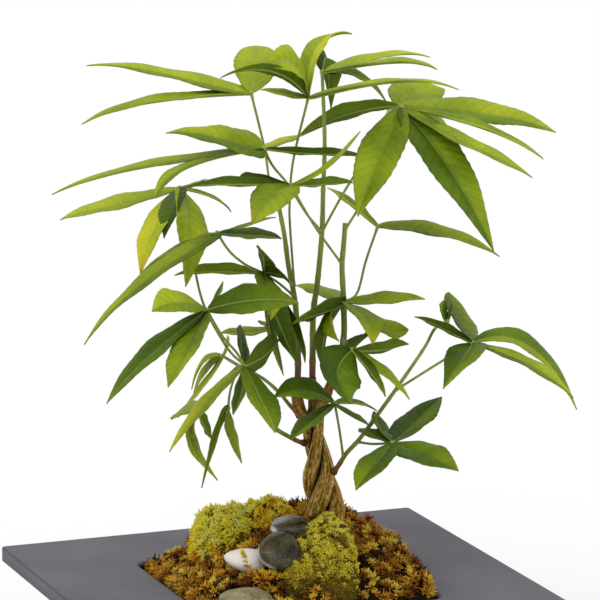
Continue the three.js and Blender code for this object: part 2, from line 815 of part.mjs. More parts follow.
function roundedSquare(side, radius) {
  const h = side / 2;
  const shape = new THREE.Shape();
  shape.moveTo(h, -h + radius);
  shape.lineTo(h, h - radius);
  shape.absarc(h - radius, h - radius, radius, 0, Math.PI / 2, false);
  shape.lineTo(-h + radius, h);
  shape.absarc(-h + radius, h - radius, radius, Math.PI / 2, Math.PI, false);
  shape.lineTo(-h, -h + radius);
  shape.absarc(-h + radius, -h + radius, radius, Math.PI, 1.5 * Math.PI, false);
  shape.lineTo(h - radius, -h);
  shape.absarc(h - radius, -h + radius, radius, 1.5 * Math.PI, 2 * Math.PI, false);
  return shape;
}

// A square block with round corners between two heights, with its own side at each.
function taperedBlock(levels, curveSegments) {
  const rings = levels.map(([z, side, radius]) => {
    const outline = roundedSquare(side, radius).extractPoints(curveSegments).shape;
    return outline.slice(0, -1).map((p) => [p.x, p.y, z]);
  });
  return solidOf(skin(rings));
}

function pot() {
  const under = POT.height - POT.rimThickness;
  const body = taperedBlock(
    [
      [0, POT.bodyBase, POT.bodyRadius],
      [under + 1, POT.bodyTop, POT.bodyRadius],
    ],
    CORNER_STEPS.large,
  );
  const slab = taperedBlock(
    [
      [under, POT.rimSide, POT.rimCorner],
      [POT.height, POT.rimSide, POT.rimCorner],
    ],
    CORNER_STEPS.small,
  );
  const cavity = taperedBlock(
    [
      [POT.floor, POT.cavityBase, POT.openingRadius],
      [under, POT.opening, POT.openingRadius],
      [POT.height + 1, POT.opening, POT.openingRadius],
    ],
    CORNER_STEPS.large,
  );
  return body.add(slab).subtract(cavity);
}

function soil() {
  const top = POT.height + SOIL.top;
  const depth = top - POT.floor;
  const at = (z) => THREE.MathUtils.lerp(POT.cavityBase, POT.opening, (z - POT.floor) / depth);
  return taperedBlock(
    [
      [POT.floor + GAP, at(POT.floor) - 2 * SOIL.gap, POT.openingRadius],
      [top, at(top) - 2 * SOIL.gap - SOIL.shrink, POT.openingRadius],
    ],
    CORNER_STEPS.large,
  );
}

// The upright hole round the trunk between two heights.
function hole(bottom, top) {
  const tube = new THREE.CylinderGeometry(HOLE.radius, HOLE.radius, top - bottom, HOLE.sides);
  tube.rotateX(Math.PI / 2);
  const [x, y] = toPot(HOLE.centre);
  tube.translate(x, y, (bottom + top) / 2);
  return solidOf(tube);
}

// ---- The object ---------------------------------------------------------------------------

const FINISH = {
  slate: new THREE.MeshStandardMaterial({ color: 0x716f77, roughness: 0.75, metalness: 0 }),
  soil: new THREE.MeshStandardMaterial({ color: 0x2b1b10, roughness: 1, metalness: 0 }),
  moss: new THREE.MeshStandardMaterial({ color: 0x7a4f16, roughness: 1, metalness: 0 }),
  yellowMoss: new THREE.MeshStandardMaterial({ color: 0xbfa81f, roughness: 1, metalness: 0 }),
  greenMoss: new THREE.MeshStandardMaterial({ color: 0x8c9a26, roughness: 1, metalness: 0 }),
  darkStone: new THREE.MeshStandardMaterial({ color: 0x3a3c40, roughness: 0.45, metalness: 0 }),
  paleStone: new THREE.MeshStandardMaterial({ color: 0xd9d5cc, roughness: 0.6, metalness: 0 }),
  brownStone: new THREE.MeshStandardMaterial({ color: 0x6f5f4d, roughness: 0.6, metalness: 0 }),
  bark: new THREE.MeshStandardMaterial({ color: 0x80582c, roughness: 0.85, metalness: 0 }),
  leaf: new THREE.MeshStandardMaterial({ color: 0x6d8c2a, roughness: 0.5, metalness: 0 }),
};

const tree = new THREE.Group();

function add(parent, name, solid, material) {
  const mesh = new THREE.Mesh(geometryOf(solid), material.clone());
  mesh.name = name;
  parent.add(mesh);
}

const RIM = POT.height;
const overRim = new THREE.Group();
overRim.position.z = RIM;
tree.add(overRim);
const plant = new THREE.Group();
plant.rotation.z = FRONT_TURN;
overRim.add(plant);

add(tree, "pot", pot(), FINISH.slate);
add(tree, "soil", soil().subtract(hole(RIM + FOOT - FOOT_DIP, RIM)), FINISH.soil);

const stones = Object.entries(STONES);
const nests = joined(stones.map(([, row]) => stone(row, 2 * GAP)));
const well = hole(HOLE.bottom, HOLE.top);
const bed = mound().subtract(well).subtract(nests);
add(overRim, "moss_mound", bed, FINISH.moss);
for (const [name, row] of Object.entries(CLUMPS)) {
  const material = name.endsWith("yellow") ? FINISH.yellowMoss : FINISH.greenMoss;
  add(overRim, name, clump(row).subtract(well).subtract(nests), material);
}
const STONE_FINISH = { stone_white: FINISH.paleStone, stone_brown: FINISH.brownStone };
for (const [name, row] of stones) {
  add(overRim, name, stone(row), STONE_FINISH[name] ?? FINISH.darkStone);
}

for (const name of Object.keys(ARMS)) {
  add(plant, `trunk_strand_${name}`, strand(name, FOOT), FINISH.bark);
}
for (const name of Object.keys(SHOOTS)) {
  add(plant, `shoot_${name}`, shoot(name), FINISH.leaf);
}

export default tree;
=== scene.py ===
# A potted money tree: three young trees with their trunks twisted together, in a square pot with a
# wide flat rim, with moss and pebbles on the soil. The tables are in millimetres; the pieces are in
# metres, in the frame of the solids that they stand for.
import math

import bpy
import numpy as np
from mathutils import Matrix, Vector, noise


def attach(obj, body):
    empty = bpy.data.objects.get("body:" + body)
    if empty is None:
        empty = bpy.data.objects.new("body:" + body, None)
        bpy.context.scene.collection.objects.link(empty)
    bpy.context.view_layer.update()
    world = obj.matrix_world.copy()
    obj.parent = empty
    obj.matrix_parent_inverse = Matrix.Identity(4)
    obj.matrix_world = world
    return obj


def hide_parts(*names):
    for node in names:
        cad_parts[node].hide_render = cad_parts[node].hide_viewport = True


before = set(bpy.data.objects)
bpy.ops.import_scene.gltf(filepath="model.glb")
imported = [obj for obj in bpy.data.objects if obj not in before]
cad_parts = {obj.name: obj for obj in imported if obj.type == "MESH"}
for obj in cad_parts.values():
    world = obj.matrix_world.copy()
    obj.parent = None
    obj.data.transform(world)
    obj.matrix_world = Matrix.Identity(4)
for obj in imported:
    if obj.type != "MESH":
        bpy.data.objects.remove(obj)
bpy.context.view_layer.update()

MM = 0.001
RIM = 100  # height of the pot's rim, which the heights of the plant and the ground are counted from
FRONT_TURN = math.radians(-21.3)  # the plant's tables are as seen from the front

# ---- Sizes --------------------------------------------------------------------------------------

POT = {
    "rim_side": 300,
    "rim_thickness": 10.5,
    "rim_corner": 1.5,
    "opening": 157,
    "opening_corner": 9,
    "body_top": 190,
    "body_base": 146,
    "body_corner": 16,
    "cavity_base": 122,
    "floor": 9,
    "edge": 0.7,
    "lip": 2.6,
    "inside_painted_shade": 2.2,  # painted shade: how dark the inner wall is, near black, where 1 is the darkness along an edge
}

MOUND = {
    "centre": (1, 0),
    "half": (76.5, 77),
    "squareness": 12,
    "bottom": -12.7,
    "edge": -6,
    "top": 34,
    "lean": (0.7, 16),  # its fall just right of the trunk for each millimetre, and how far that goes on
    # How the heap falls to each wall: late and steeply at the back and the right.
    "fall": {"left": (1.3, 0.8), "right": (60, 0.4), "front": (2, 1), "back": (30, 0.45)},
    # A low place: centre as seen from the front, reach and share of the height that it takes.
    "hollow": ((-80, 40), 40, 0.5),
    "lumps": (1.7, 1.1, 0.7),
    "bare_front": 0.87,  # share of its half depth beyond which the front is bare
    "crumbs": [(1.6, 9, 1), (1.0, 4, 2)],  # height, size and seed of the bed's bumps
    "sunk": 2.4,  # how far the bed lies under the mound's surface
    "sides": 0.965,  # where tufts grow down the sides, as a share of the outline
    "brow": 0.88,  # and where the sides begin
}

TRUNK = {
    # Its middle line from below the soil up.
    "line": [
        (25, 15, -30), (25, 15, 39), (22, 15, 66), (19.4, 15, 84), (18.4, 15, 93), (16.6, 15, 104),
        (16.8, 15, 112),
    ],
    # Heights and a strand's radius there.
    "strand": [
        (-30, 5.6), (24, 6.6), (39, 6.1), (54, 5.4), (66, 5.0), (76, 3.9), (84, 3.4), (93, 3.2), (104, 3.5),
        (112, 3.7),
    ],
    "lay": 90,  # the height of one whole turn
    "top_phase": -18,
    "top": 104,
    "step": 7,
    "foot": -31,
    "spread": 1.28,  # how far out a strand runs, in its own radii
    "fatness": 1.07,
    "sides": 28,  # points round a strand
    "relief": (0.075, 0.03, 0.05),  # the bark's ridges, wrinkles and swellings, as shares of its radius
    "redder": (98, 128),  # the heights between which the bark turns red
}
HOLE = {"centre": (25, 15), "radius": 13.5}

# How each strand goes on over the twist: its phase in degrees, and its arm's points and radii.
ARMS = {
    "left": (240, [(8.8, 14, 111), (6.8, 14, 119), (7.2, 14, 131.5)], [4, 3.7, 2.6]),
    "right": (0, [(21.2, 10.5, 111), (25.4, 11, 120), (29.4, 11, 131.5)], [3.6, 3.3, 2.3]),
    "middle": (120, [(17.6, 21, 112), (17.2, 22, 121), (16.8, 20, 131.5)], [3.5, 3.1, 2.4]),
}

# The green stem of each shoot: its radius at the foot and the top, and its points from the foot up.
SHOOTS = {
    "left": ((2.2, 1.4), [
        (7.2, 14, 132.2), (7.4, 15, 142), (5.7, 20, 180), (1, 24, 206), (-1.5, 26, 225), (-5, 28, 243),
    ]),
    "middle": ((2.2, 1.1), [
        (16.8, 20, 132.4), (17, 21, 150), (17.5, 22, 176), (20, 22, 194), (23, 22, 228), (23.7, 22, 255),
        (24.7, 22, 285), (23, 20, 333),
    ]),
    "right": ((2.2, 1.6), [
        (29.4, 11, 132.2), (33.2, 10, 145), (37, 8, 159), (37, 8, 184), (36, 8, 209), (37, 8, 222),
        (38, 8, 236),
    ]),
    "branch": ((1.6, 0.9), [
        (30.6, 8, 70.5), (34, 4.5, 76), (39, 0, 85), (47, -4, 95), (60, -8, 114), (70, -7, 128),
        (90, 5, 155), (97, 16, 165), (105, 24, 168),
    ]),
    "low": ((1.5, 1.2), [
        (11.6, 13.2, 89), (8.6, 9.5, 90.5), (1, 2, 96), (-9, -8, 105), (-19, -25, 125), (-25, -36, 143),
        (-27, -40, 152),
    ]),
    "sprig": ((1.3, 1), [
        (8.1, 16.5, 106), (7, 18, 107.2), (1, 24, 113), (-5, 30, 119), (-16, 42, 126), (-32, 50, 133),
        (-43, 62, 137),
    ]),
}

# Compound leaves: the shoot, the hub that the blades spread from, the points of the stalk that leads
# to it, and the leaflets. A leaflet is its rib's middle and tip, the blade's width and its turn about
# the rib in degrees, then its tone from deep green at 0 to lime at 1, partly its own colour and partly
# painted shade and light, and the belly of its outline.
USUAL_TONE, USUAL_BELLY = 0.5, 1.02
LEAVES = {
    "A": ("left", (-23, 30, 318), [(-5, 28, 243), (-11, 28, 260), (-14, 32, 279)], [
        ((-76, 30, 331), (-129, 22, 337), 27, 10, 0.5, 0.5),
        ((-78, 10, 318), (-131, -8, 303), 25, 2, 0.5, 0.85),
        ((-20, 60, 335), (-22, 92, 341), 30, 0, 0.58, 0.95),
    ]),
    "G": ("left", (14, -25, 323), [(5, 20, 192), (2, 20, 236), (2, 5, 249), (4, -12, 278)], [
        ((-8, -44, 343), (-41, -58, 340), 14, -28, 0.2),
        ((6, -38, 347), (-12, -46, 345), 28, 41, 0.62),
        ((18, -8, 353), (42, 6, 360), 25, 18, 0.6),
        ((1, -30, 326), (-16, -34, 329), 12, 18),
        ((62, -45, 336), (108, -55, 332), 21, -3, 0.5, 0.45),
    ]),
    "H": ("middle", (23, 20, 333), [], [
        ((59, 28, 343), (93, 34, 341), 22, -3, 0.7, 0.6),
        ((63, 0, 343), (96, -12, 339), 20, -4, 0.5, 0.85),
        ((45, 38, 330), (65, 32, 312), 16, -18, 0.42),
        ((28, 46, 339), (29, 60, 304), 26, -45, 0.1, 0.9),
        ((23, 60, 335), (20, 100, 327), 25, -42),
    ]),
    "E": ("right", (74, 0, 313), [(38, 8, 232), (48, 8, 248), (64, 10, 274), (73, 6, 294)], [
        ((60, -36, 291), (45, -60, 252), 31, 2, 0.46),
        ((100, -34, 286), (131, -56, 229), 34, -9, 0.3, 0.85),
        ((120, 2, 303), (165, -4, 280), 22, -3),
        ((115, -26, 295), (156, -36, 273), 24, -1),
    ]),
    "F": ("middle", (73, 30, 310), [(23, 22, 228), (40, 26, 258), (57, 32, 282)], [
        ((42, 38, 306), (7, 40, 287), 26, -29, 0.28),
        ((126, 42, 305), (176, 44, 290), 32, -20),
        ((85, 60, 315), (105, 84, 313), 34, -16, 0.55),
        ((67, 80, 299), (61, 118, 276), 26, 60),
        ((93, 74, 302), (110, 104, 280), 24, -45),
    ]),
    "B": ("middle", (-14, -50, 294), [(23, 22, 228), (13, -2, 244), (1, -25, 267), (-9, -40, 282)], [
        ((-42, -58, 303), (-75, -66, 306), 34, 22, 0.5, 0.42),
        ((-77, -64, 288), (-146, -78, 269), 22, 2, 0.5, 0.85),
        ((-59, -78, 289), (-81, -98, 270), 22, -8, 0.42),
        ((-3, -20, 294), (11, 6, 294), 16, 6, 0.72),
        ((18, -36, 290), (50, -16, 283), 18, 23, 0.28),
    ]),
    "C": ("right", (3, -58, 272), [(36, 8, 209), (21, -10, 233), (10, -40, 256)], [
        ((-31, -62, 275), (-62, -70, 272), 20, -27, 0.24),
        ((-16, -46, 275), (-30, -36, 272), 16, -27, 0.28),
        ((-7, -84, 271), (-21, -98, 254), 29, 7),
        ((22, -52, 273), (42, -44, 271), 20, 26, 0.28),
        ((27, -74, 288), (46, -84, 310), 12, -26, 0.52),
    ]),
    "I": ("right", (60, 50, 227), [(37, 8, 184), (46, 28, 186), (52, 42, 205)], [
        ((98, 48, 225), (140, 42, 208), 28, -7, 0.5, 0.8),
        ((43, 60, 241), (27, 78, 248), 22, -17),
    ]),
    "M": ("left", (-44, -34, 237), [(-15, 14, 202), (-28, -14, 214), (-37, -28, 225)], [
        ((-23, -34, 237), (-3, -38, 234), 22, -8, 0.28),
        ((-89, -60, 212), (-127, -76, 173), 27, -1, 0.46, 0.42),
        ((-69, -20, 226), (-93, -14, 208), 16, 10),
        ((-25, -6, 238), (-7, 14, 239), 8, 8),
    ]),
    "K": ("low", (-70, 40, 254),
     [(-27, -40, 152), (-40, 2, 157), (-54, 14, 181), (-61, 28, 207), (-66, 38, 236)], [
        ((-111, 44, 244), (-149, 44, 232), 28, 11, 0.62),
        ((-86, 8, 234), (-94, -8, 205), 26, -22, 0.74, 0.78),
        ((-61, 6, 236), (-65, -12, 198), 29, 42, 0.6, 0.95),
        ((-50, 52, 247), (-37, 70, 233), 8, -21),
        ((-62, 70, 252), (-56, 92, 250), 16, 19),
        ((-75, 10, 247), (-79, -2, 228), 20, -27, 0.14, 0.8),
    ]),
    "N": ("left", (-15, 14, 202), [(5.5, 20, 185), (-5, 16, 195)], [
        ((-43, 16, 205), (-73, 12, 201), 22, -30, 0.4),
        ((-13, 2, 214), (-19, -10, 224), 20, 47, 0.28),
        ((-5, 2, 205), (4, -12, 198), 18, 43, 0.28),
        ((-11, -14, 198), (-10, -36, 181), 24, 38),
        ((-4, -8, 177), (6, -20, 150), 27, 85, 0.2),
        ((-10, 10, 165), (-2, 4, 136), 12, 13),
        ((5, -2, 171), (12, -12, 148), 20, 60, 0.2),
    ]),
    "P": ("low", (-50, -64, 193), [(-27, -40, 152), (-31, -42, 160), (-40, -48, 172)], [
        ((-65, -88, 204), (-83, -104, 200), 27, 26, 0.5, 1.12),
        ((-81, -84, 174), (-112, -98, 140), 27, 0, 0.28),
        ((-62, -98, 178), (-73, -114, 154), 27, -23, 0.4),
        ((-23, -66, 201), (8, -62, 197), 30, -27, 0.28),
        ((-45, -34, 195), (-41, -4, 200), 8, 43, 0.4),
    ]),
    "Q": ("low", (-27, -40, 152), [], [
        ((-49, -58, 135), (-74, -72, 103), 20, -9, 0.72),
        ((-15, -72, 138), (-7, -92, 120), 25, 22, 0.34),
        ((-30, -48, 136), (-34, -54, 123), 18, -39, 0.28),
        ((-28, -18, 161), (-30, 8, 169), 16, -60, 0.28),
        ((-16, -22, 156), (-5, 6, 159), 24, 74, 0.28),
    ]),
    "R": ("sprig", (-43, 62, 137), [], [
        ((-56, 66, 133), (-64, 68, 113), 10, 19, 0.62),
        ((-54, 64, 120), (-73, 66, 94), 12, 16, 0.62),
        ((-56, 74, 124), (-64, 86, 101), 10, 57),
        ((-40, 66, 144), (-40, 72, 149), 6, 51, 0.72),
    ]),
    "S": ("sprig", (-38, -8, 117), [(-32, 50, 133), (-34, 30, 131), (-37, 10, 124)], [
        ((-44, -16, 107), (-55, -26, 68), 14, -64, 0.42),
        ((-36, -14, 103), (-29, -20, 83), 16, 31),
    ]),
    "O": ("sprig", (-58, 10, 112), [(-32, 50, 133), (-40, 36, 128), (-48, 22, 119)], [
        ((-53, 4, 104), (-49, -2, 95), 18, 71, 0.45),
        ((-62, 6, 92), (-45, 0, 67), 18, 18, 0.6),
        ((-68, 34, 107), (-77, 60, 94), 18, 35),
    ]),
    "T": ("branch", (121, 8, 157), [(70.5, -6.5, 128.5), (101, -6, 148)], [
        ((157, 16, 156), (190, 12, 112), 27, -15, 0.42),
        ((155, -12, 149), (185, -22, 127), 25, 3, 0.45),
        ((115, 44, 167), (108, 74, 178), 28, -38, 0.28),
        ((103, 6, 168), (83, 0, 176), 18, -22, 0.28),
        ((112, -30, 155), (100, -50, 139), 26, -4, 0.28, 0.55),
    ]),
    "J": ("branch", (105, 24, 168), [], [
        ((103, 30, 174), (104, 34, 181), 14, -60, 0.28),
        ((107, 32, 173), (108, 40, 178), 7, 60, 0.28),
    ]),
    "V": ("branch", (68, -34, 100), [(46, -3.5, 93.5), (56, -20, 96)], [
        ((83, -4, 108), (102, 22, 118), 28, 8, 0.2),
        ((87, -60, 100), (109, -78, 92), 28, -11, 0.22),
        ((57, -62, 95), (44, -84, 81), 26, -11, 0.24),
        ((58, -20, 103), (48, -6, 103), 22, -6, 0.36),
        ((63, -12, 104), (57, 6, 112), 20, -38, 0.3),
    ]),
    "W": ("right", (37, 8, 184), [], [
        ((63, 8, 187), (90, 8, 186), 22, -10),
        ((23, 42, 185), (6, 56, 186), 22, -3),
        ((23, -10, 183), (4, -22, 176), 29, -39, 0.24),
        ((51, -26, 182), (55, -42, 166), 26, 21, 0.44, 0.75),
        ((63, 24, 165), (80, 28, 162), 26, -22),
        ((26, -2, 175), (34, -10, 162), 18, -59, 0.72),
        ((24, 4, 167), (23, 2, 143), 23, -46, 0.22),
    ]),
    "X": ("right", (42, -38, 162), [(37, 8, 161), (38, -10, 163)], [
        ((34, -68, 154), (41, -84, 137), 35, 41, 0.16),
        ((55, -52, 151), (63, -60, 136), 18, 61, 0.28),
        ((62, -34, 148), (79, -36, 129), 18, -11),
        ((62, -18, 160), (79, -10, 160), 24, 34, 0.28),
        ((48, -19, 168), (56, 4, 164), 25, 30, 0.24),
    ]),
    "Y": ("branch", (31, -24, 124), [(37, 1.5, 82), (34, -16, 106)], [
        ((13, -28, 135), (-8, -34, 130), 28, 19, 0.28),
        ((15, -34, 115), (3, -42, 104), 24, -6, 0.28),
        ((43, -36, 119), (53, -40, 113), 12, 11, 0.28),
        ((45, -6, 121), (59, 6, 112), 12, -14),
    ]),
    "Z": ("left", (-10, 18, 165), [(7, 18, 170), (-2, 18, 168)], [
        ((-27, 12, 164), (-43, 6, 164), 18, 7, 0.72),
        ((-14, 26, 166), (-17, 36, 166), 10, -15),
    ]),
}

# How far a leaflet's tip has gone yellow or brown, by leaf and place in it.
DRY_TIPS = {("K", 1): 0.8, ("W", 3): 0.5, ("C", 2): 0.25, ("E", 2): 0.3, ("A", 0): 0.3}
# Leaflets with a pale midrib, by leaf and place in it.
PALE_RIBS = {("P", 3): 1, ("P", 1): 0.6, ("Q", 1): 1, ("G", 1): 1, ("T", 0): 0.4}

BLADE = {
    "thickness": 0.45,
    "fold": 9,  # degrees that each half is folded up from the rib
    "taper": (0.62, 0.32),
    "waves": 2.6,  # waves along each edge
    "wave_height": 0.022,  # this and the next four are shares of the width or the length
    "hook": 0.05,
    "quilt": 0.04,
    "arch": 0.07,
    "crimp": 0.018,
    "foot_width": 1.6,
    "tip_width": 0.5,
    "row": 1.5,
    "columns": 7,
    "vein_gap": 7,
    "vein_lean": 0.85,
    "halves": 0.13,  # how much lighter one half may be
    "keel": 0.75,  # the radius of the raised rib under a blade, near its foot
}
STALK_RADIUS = 0.82
HUB_RADIUS = 1.7
BRANCHES = ("branch", "low", "sprig")  # the shoots with a collar where they leave the trunk
STEM = {
    "joint_gap": 19,  # between the rings on a stem
    "joint": 0.13,  # how much thicker a stem is at its rings and at its collar, as shares
    "collar": 0.7,
    "brown": 26,  # how far up its foot is brown
}

# The pebbles: centre as seen from the front, half sizes, turns about x, y and z in degrees, and seed.
STONES = {
    "stone_dark_back": ((4, -24, 39.5), (16, 10, 8), (14, 4, -6), 3),
    "stone_dark_front": ((-4, -50, 32), (14.5, 13, 7.5), (34, 22, -24), 7),
    "stone_white": ((-26, -43, 24.5), (15.5, 9, 7), (10, 6, 12), 11),
    "stone_brown": ((-26, -78, 7), (18.5, 11, 8), (12, 4, -8), 17),
}
STONE_BUMPS = (0.07, 0.06, 0.05)
STONE_MARGIN = 0.4  # the air that moss leaves round a pebble
# Painted highlights on the dark pebbles: the way each faces as seen from the front, and its strength.
PAINTED_GLEAMS = {
    "stone_dark_front": [
        ((-0.92, -0.3, 0.1), 0.9), ((-0.83, -0.5, -0.25), 0.6), ((-0.66, -0.62, -0.43), 0.7),
    ],
    "stone_dark_back": [((-0.85, -0.5, 0.15), 1), ((-0.45, -0.1, 0.88), 0.4)],
}
GLEAM_EDGE = (0.86, 0.96)  # how well the skin faces that way where a painted highlight starts and where it is full

# Lobes of the moss clumps: centre as seen from the front, half sizes, how far it follows the mound,
# its rise, turn and seed, and its place in the clump's colours from dark to light.
CLUMPS = {
    "moss_clump_yellow": [
        ((-40, 33), (23, 24), 0, 37, -8, 5, 0.74),
        ((-13, 38), (19, 18), 0, 42, 0, 19, 0.5),
    ],
    "moss_cushion_green": [
        ((29, -33), (16.5, 26), 0.5, 36, 4, 9, 0.62),
        ((7, -49), (12, 13), 1, 15, 0, 13, 0.46),
    ],
}
CLUMP = {
    "lift": 1.2,
    "fall": 4.2,
    "waist": 0.05,
    "notch": 0.04,
    "square": 0.1,
    "lump": 0.06,
    "crumbs": [(1.4, 8, 3), (0.8, 3.5, 4)],
    "sunk": 2.0,
    # How much the tone varies over lumps, over wide patches and from tuft to tuft.
    "tones": (0.9, 0.25, 0.2),
    # The tone at the foot of the sides against the top's, its gain up them, and from tuft to tuft.
    "side_tones": (-0.55, 0.7, 0.14),
}

# The moss: the spacing of its tufts and their size, the threads in each and their thickness, how deep
# the tufts are sunk and how far they stand up and down, how many grow on steep sides, the density
# below which there are none, and its colours from dark to light.
MOSS = {
    "bed": {
        "spacing": 4.2, "size": 4.2, "threads": 26, "thick": 0.64,
        "sunk": 3.6, "uneven": 5, "sides": 560, "sparse": -0.16,
        "colours": [(58, 30, 8), (138, 86, 20), (202, 144, 40), (238, 188, 62), (242, 214, 82)],
    },
    "moss_clump_yellow": {
        "spacing": 3.4, "size": 3.6, "threads": 24, "thick": 0.84,
        "sunk": 2.0, "uneven": 5, "sides": 420, "sparse": -0.16,
        "colours": [(96, 48, 8), (228, 146, 24), (255, 204, 38), (255, 220, 56), (255, 240, 104)],
    },
    "moss_cushion_green": {
        "spacing": 2.2, "size": 2.0, "threads": 18, "thick": 0.4,
        "sunk": 2.0, "uneven": 1.6, "sides": 900, "sparse": -0.6,
        "colours": [(76, 54, 14), (142, 118, 30), (206, 184, 50), (234, 210, 62), (248, 230, 84)],
    },
}
# The brown moss's place in its colours: on top, on the sides, over patches and from tuft to tuft.
BROWN_TONES = {"top": 0.41, "sides": 0.4, "patches": 0.7, "tufts": 0.2}
# A thread of moss: its rings' places along it, their widths and how light they are, darker at the
# foot as painted shade deep in the tuft and lighter at the tip as painted light, and the ranges in
# which threads differ.
THREAD = {
    "rings": [(0.0, 0.7, 0.42), (0.45, 1.0, 1.05), (1.0, 0.25, 1.5)],
    "curl": (0.1, 0.5),
    "length": (0.55, 1.1),
    "light": (0.7, 1.3),
    "width": (0.7, 1.2),
    "lightest": 0.95,
}
# How threads leave a tuft: along its normal, at random, turned back outwards, and from how far out.
TUFT = {"along": 0.75, "spread": 0.8, "outwards": 1.6, "foot": 0.25}
TUFTS_REACH = 0.99  # tufts stand within this share of a heap's outline
LOBE_REACH = 0.94  # and none of the ground's within this share of a lobe's

# Tufts round the trunk's foot: their number, how far out of the hole, how far up, and their tones.
COLLAR = {"tufts": 90, "reach": (-1, 4), "lift": (-1, 4), "pick": (0, 0.55)}

# Single tufts on the white pebble and along the front of it, as seen from the front: place, size
# and colour.
STRAYS = [
    ((-28.6, -45.5, 30.6), 1.6, (214, 196, 50)),
    ((-28, -47.5, 29.6), 2.1, (220, 190, 44)),
    ((-27.2, -49.5, 28), 2.2, (214, 180, 40)),
    ((-26.4, -51.2, 25.6), 2.4, (210, 176, 40)),
    ((-25.4, -53, 22.6), 2.8, (200, 160, 34)),
    ((-22, -56, 18), 4.4, (206, 150, 30)),
    ((-16, -58, 18), 4.8, (222, 176, 36)),
    ((-11, -59, 18), 4.8, (232, 196, 44)),
    ((-7, -61, 17), 4.4, (214, 160, 34)),
    ((-15, -63, 15), 4.4, (190, 128, 26)),
]

# The camera: its place in metres, the way it looks and its lens.
CAMERA = {"place": (-0.856, -2.223, 0.750), "towards": (0.3561, 0.9148, -0.1908), "lens": 224.8}
# Broad lights from far off: the direction that each comes from, its width in degrees and its strength.
LIGHTS = {
    "key_light": ((-0.5, -0.6, 1.1), 45, 0.95),
    "fill_light": ((0.9, -0.5, 0.7), 70, 0.35),
    "top_light": ((0.1, 0.5, 1), 60, 0.4),
}
SKY_LIGHT = 0.6
FLOOR_REACH = 30  # metres


# ---- Numbers ------------------------------------------------------------------------------------


def srgb(red, green, blue):
    """A display colour from 0 to 255 as linear red, green, blue and alpha."""
    linear = []
    for level in (red, green, blue):
        c = level / 255
        linear.append(c / 12.92 if c <= 0.04045 else ((c + 0.055) / 1.055) ** 2.4)
    return (*linear, 1.0)


def draws(seed):
    """Repeatable draws between 0 and 1."""
    state = (seed * 2654435761) & 0xFFFFFFFF
    while True:
        state = ((state ^ (state >> 15)) * 2246822519 + 374761393) & 0xFFFFFFFF
        yield (state ^ (state >> 13)) / 4294967296


def unit(vectors):
    return vectors / np.maximum(np.linalg.norm(vectors, axis=-1, keepdims=True), 1e-9)


def smoothed(path, spacing):
    """Evenly spaced points on a smooth curve through the path's points."""
    knots = np.array(path, float)
    knots = np.vstack([2 * knots[0] - knots[1], knots, 2 * knots[-1] - knots[-2]])
    dense = []
    for k in range(len(knots) - 3):
        a, b, c, d = knots[k : k + 4]
        t0 = 0.0
        t1 = t0 + max(np.linalg.norm(b - a), 1e-6) ** 0.5
        t2 = t1 + max(np.linalg.norm(c - b), 1e-6) ** 0.5
        t3 = t2 + max(np.linalg.norm(d - c), 1e-6) ** 0.5
        for t in np.linspace(t1, t2, 24, endpoint=False):
            ab = (t1 - t) / (t1 - t0) * a + (t - t0) / (t1 - t0) * b
            bc = (t2 - t) / (t2 - t1) * b + (t - t1) / (t2 - t1) * c
            cd = (t3 - t) / (t3 - t2) * c + (t - t2) / (t3 - t2) * d
            abc = (t2 - t) / (t2 - t0) * ab + (t - t0) / (t2 - t0) * bc
            bcd = (t3 - t) / (t3 - t1) * bc + (t - t1) / (t3 - t1) * cd
            dense.append((t2 - t) / (t2 - t1) * abc + (t - t1) / (t2 - t1) * bcd)
    dense.append(knots[-2])
    dense = np.array(dense)
    run = np.concatenate([[0], np.cumsum(np.linalg.norm(np.diff(dense, axis=0), axis=1))])
    count = max(3, int(round(run[-1] / spacing)) + 1)
    at = np.linspace(0, run[-1], count)
    return np.stack([np.interp(at, run, dense[:, k]) for k in range(3)], axis=1), at


def rails(points):
    """Unit directions along a curve and two more across it, carried along without twisting."""
    along = unit(np.gradient(points, axis=0))
    first = np.cross(along[0], (0, 0, 1) if abs(along[0][2]) < 0.9 else (1, 0, 0))
    across = [first / np.linalg.norm(first)]
    for direction in along[1:]:
        moved = across[-1] - direction * np.dot(across[-1], direction)
        across.append(moved / np.linalg.norm(moved))
    across = np.array(across)
    return along, across, np.cross(along, across)


def rough(x, y, z, scale, seed=0):
    """Smooth noise about 0 at a place in millimetres, with features of about the given size."""
    return noise.noise((x / scale + 17.3 * seed, y / scale - 5.1 * seed, z / scale))


# ---- Pieces -------------------------------------------------------------------------------------

COLOURS = ("tint", "lay")  # the per-point values that hold four numbers


class Shape:
    """The points, faces, material slots and per-point values of one piece."""

    def __init__(self, *values):
        self.points = []
        self.faces = []
        self.slots = []
        self.values = {key: [] for key in values}
        self.count = 0

    def add(self, points, faces, slot=0, **values):
        points = np.asarray(points, float).reshape(-1, 3)
        self.points.append(points)
        self.faces.extend([tuple(int(v) + self.count for v in face) for face in faces])
        self.slots.extend([slot] * len(faces))
        for key, kept in self.values.items():
            empty = (0.0, 0.0, 0.0, 1.0) if key in COLOURS else 0.0
            size = (len(points), 4) if key in COLOURS else (len(points),)
            kept.append(np.broadcast_to(np.asarray(values.get(key, empty), float), size))
        self.count += len(points)


def grid(rows, columns, closed=False):
    """Quads over rows of points, each row joined to the next, closed round if asked."""
    faces = []
    for i in range(rows - 1):
        for j in range(columns if closed else columns - 1):
            a = i * columns + j
            b = i * columns + (j + 1) % columns
            faces.append((a, b, b + columns, a + columns))
    return faces


def skin_faces(rows, around):
    """The faces of a closed skin: rings of points joined up, and a cap on either end."""
    ends = [tuple(range(around))[::-1], tuple(range((rows - 1) * around, rows * around))]
    return grid(rows, around, closed=True) + ends


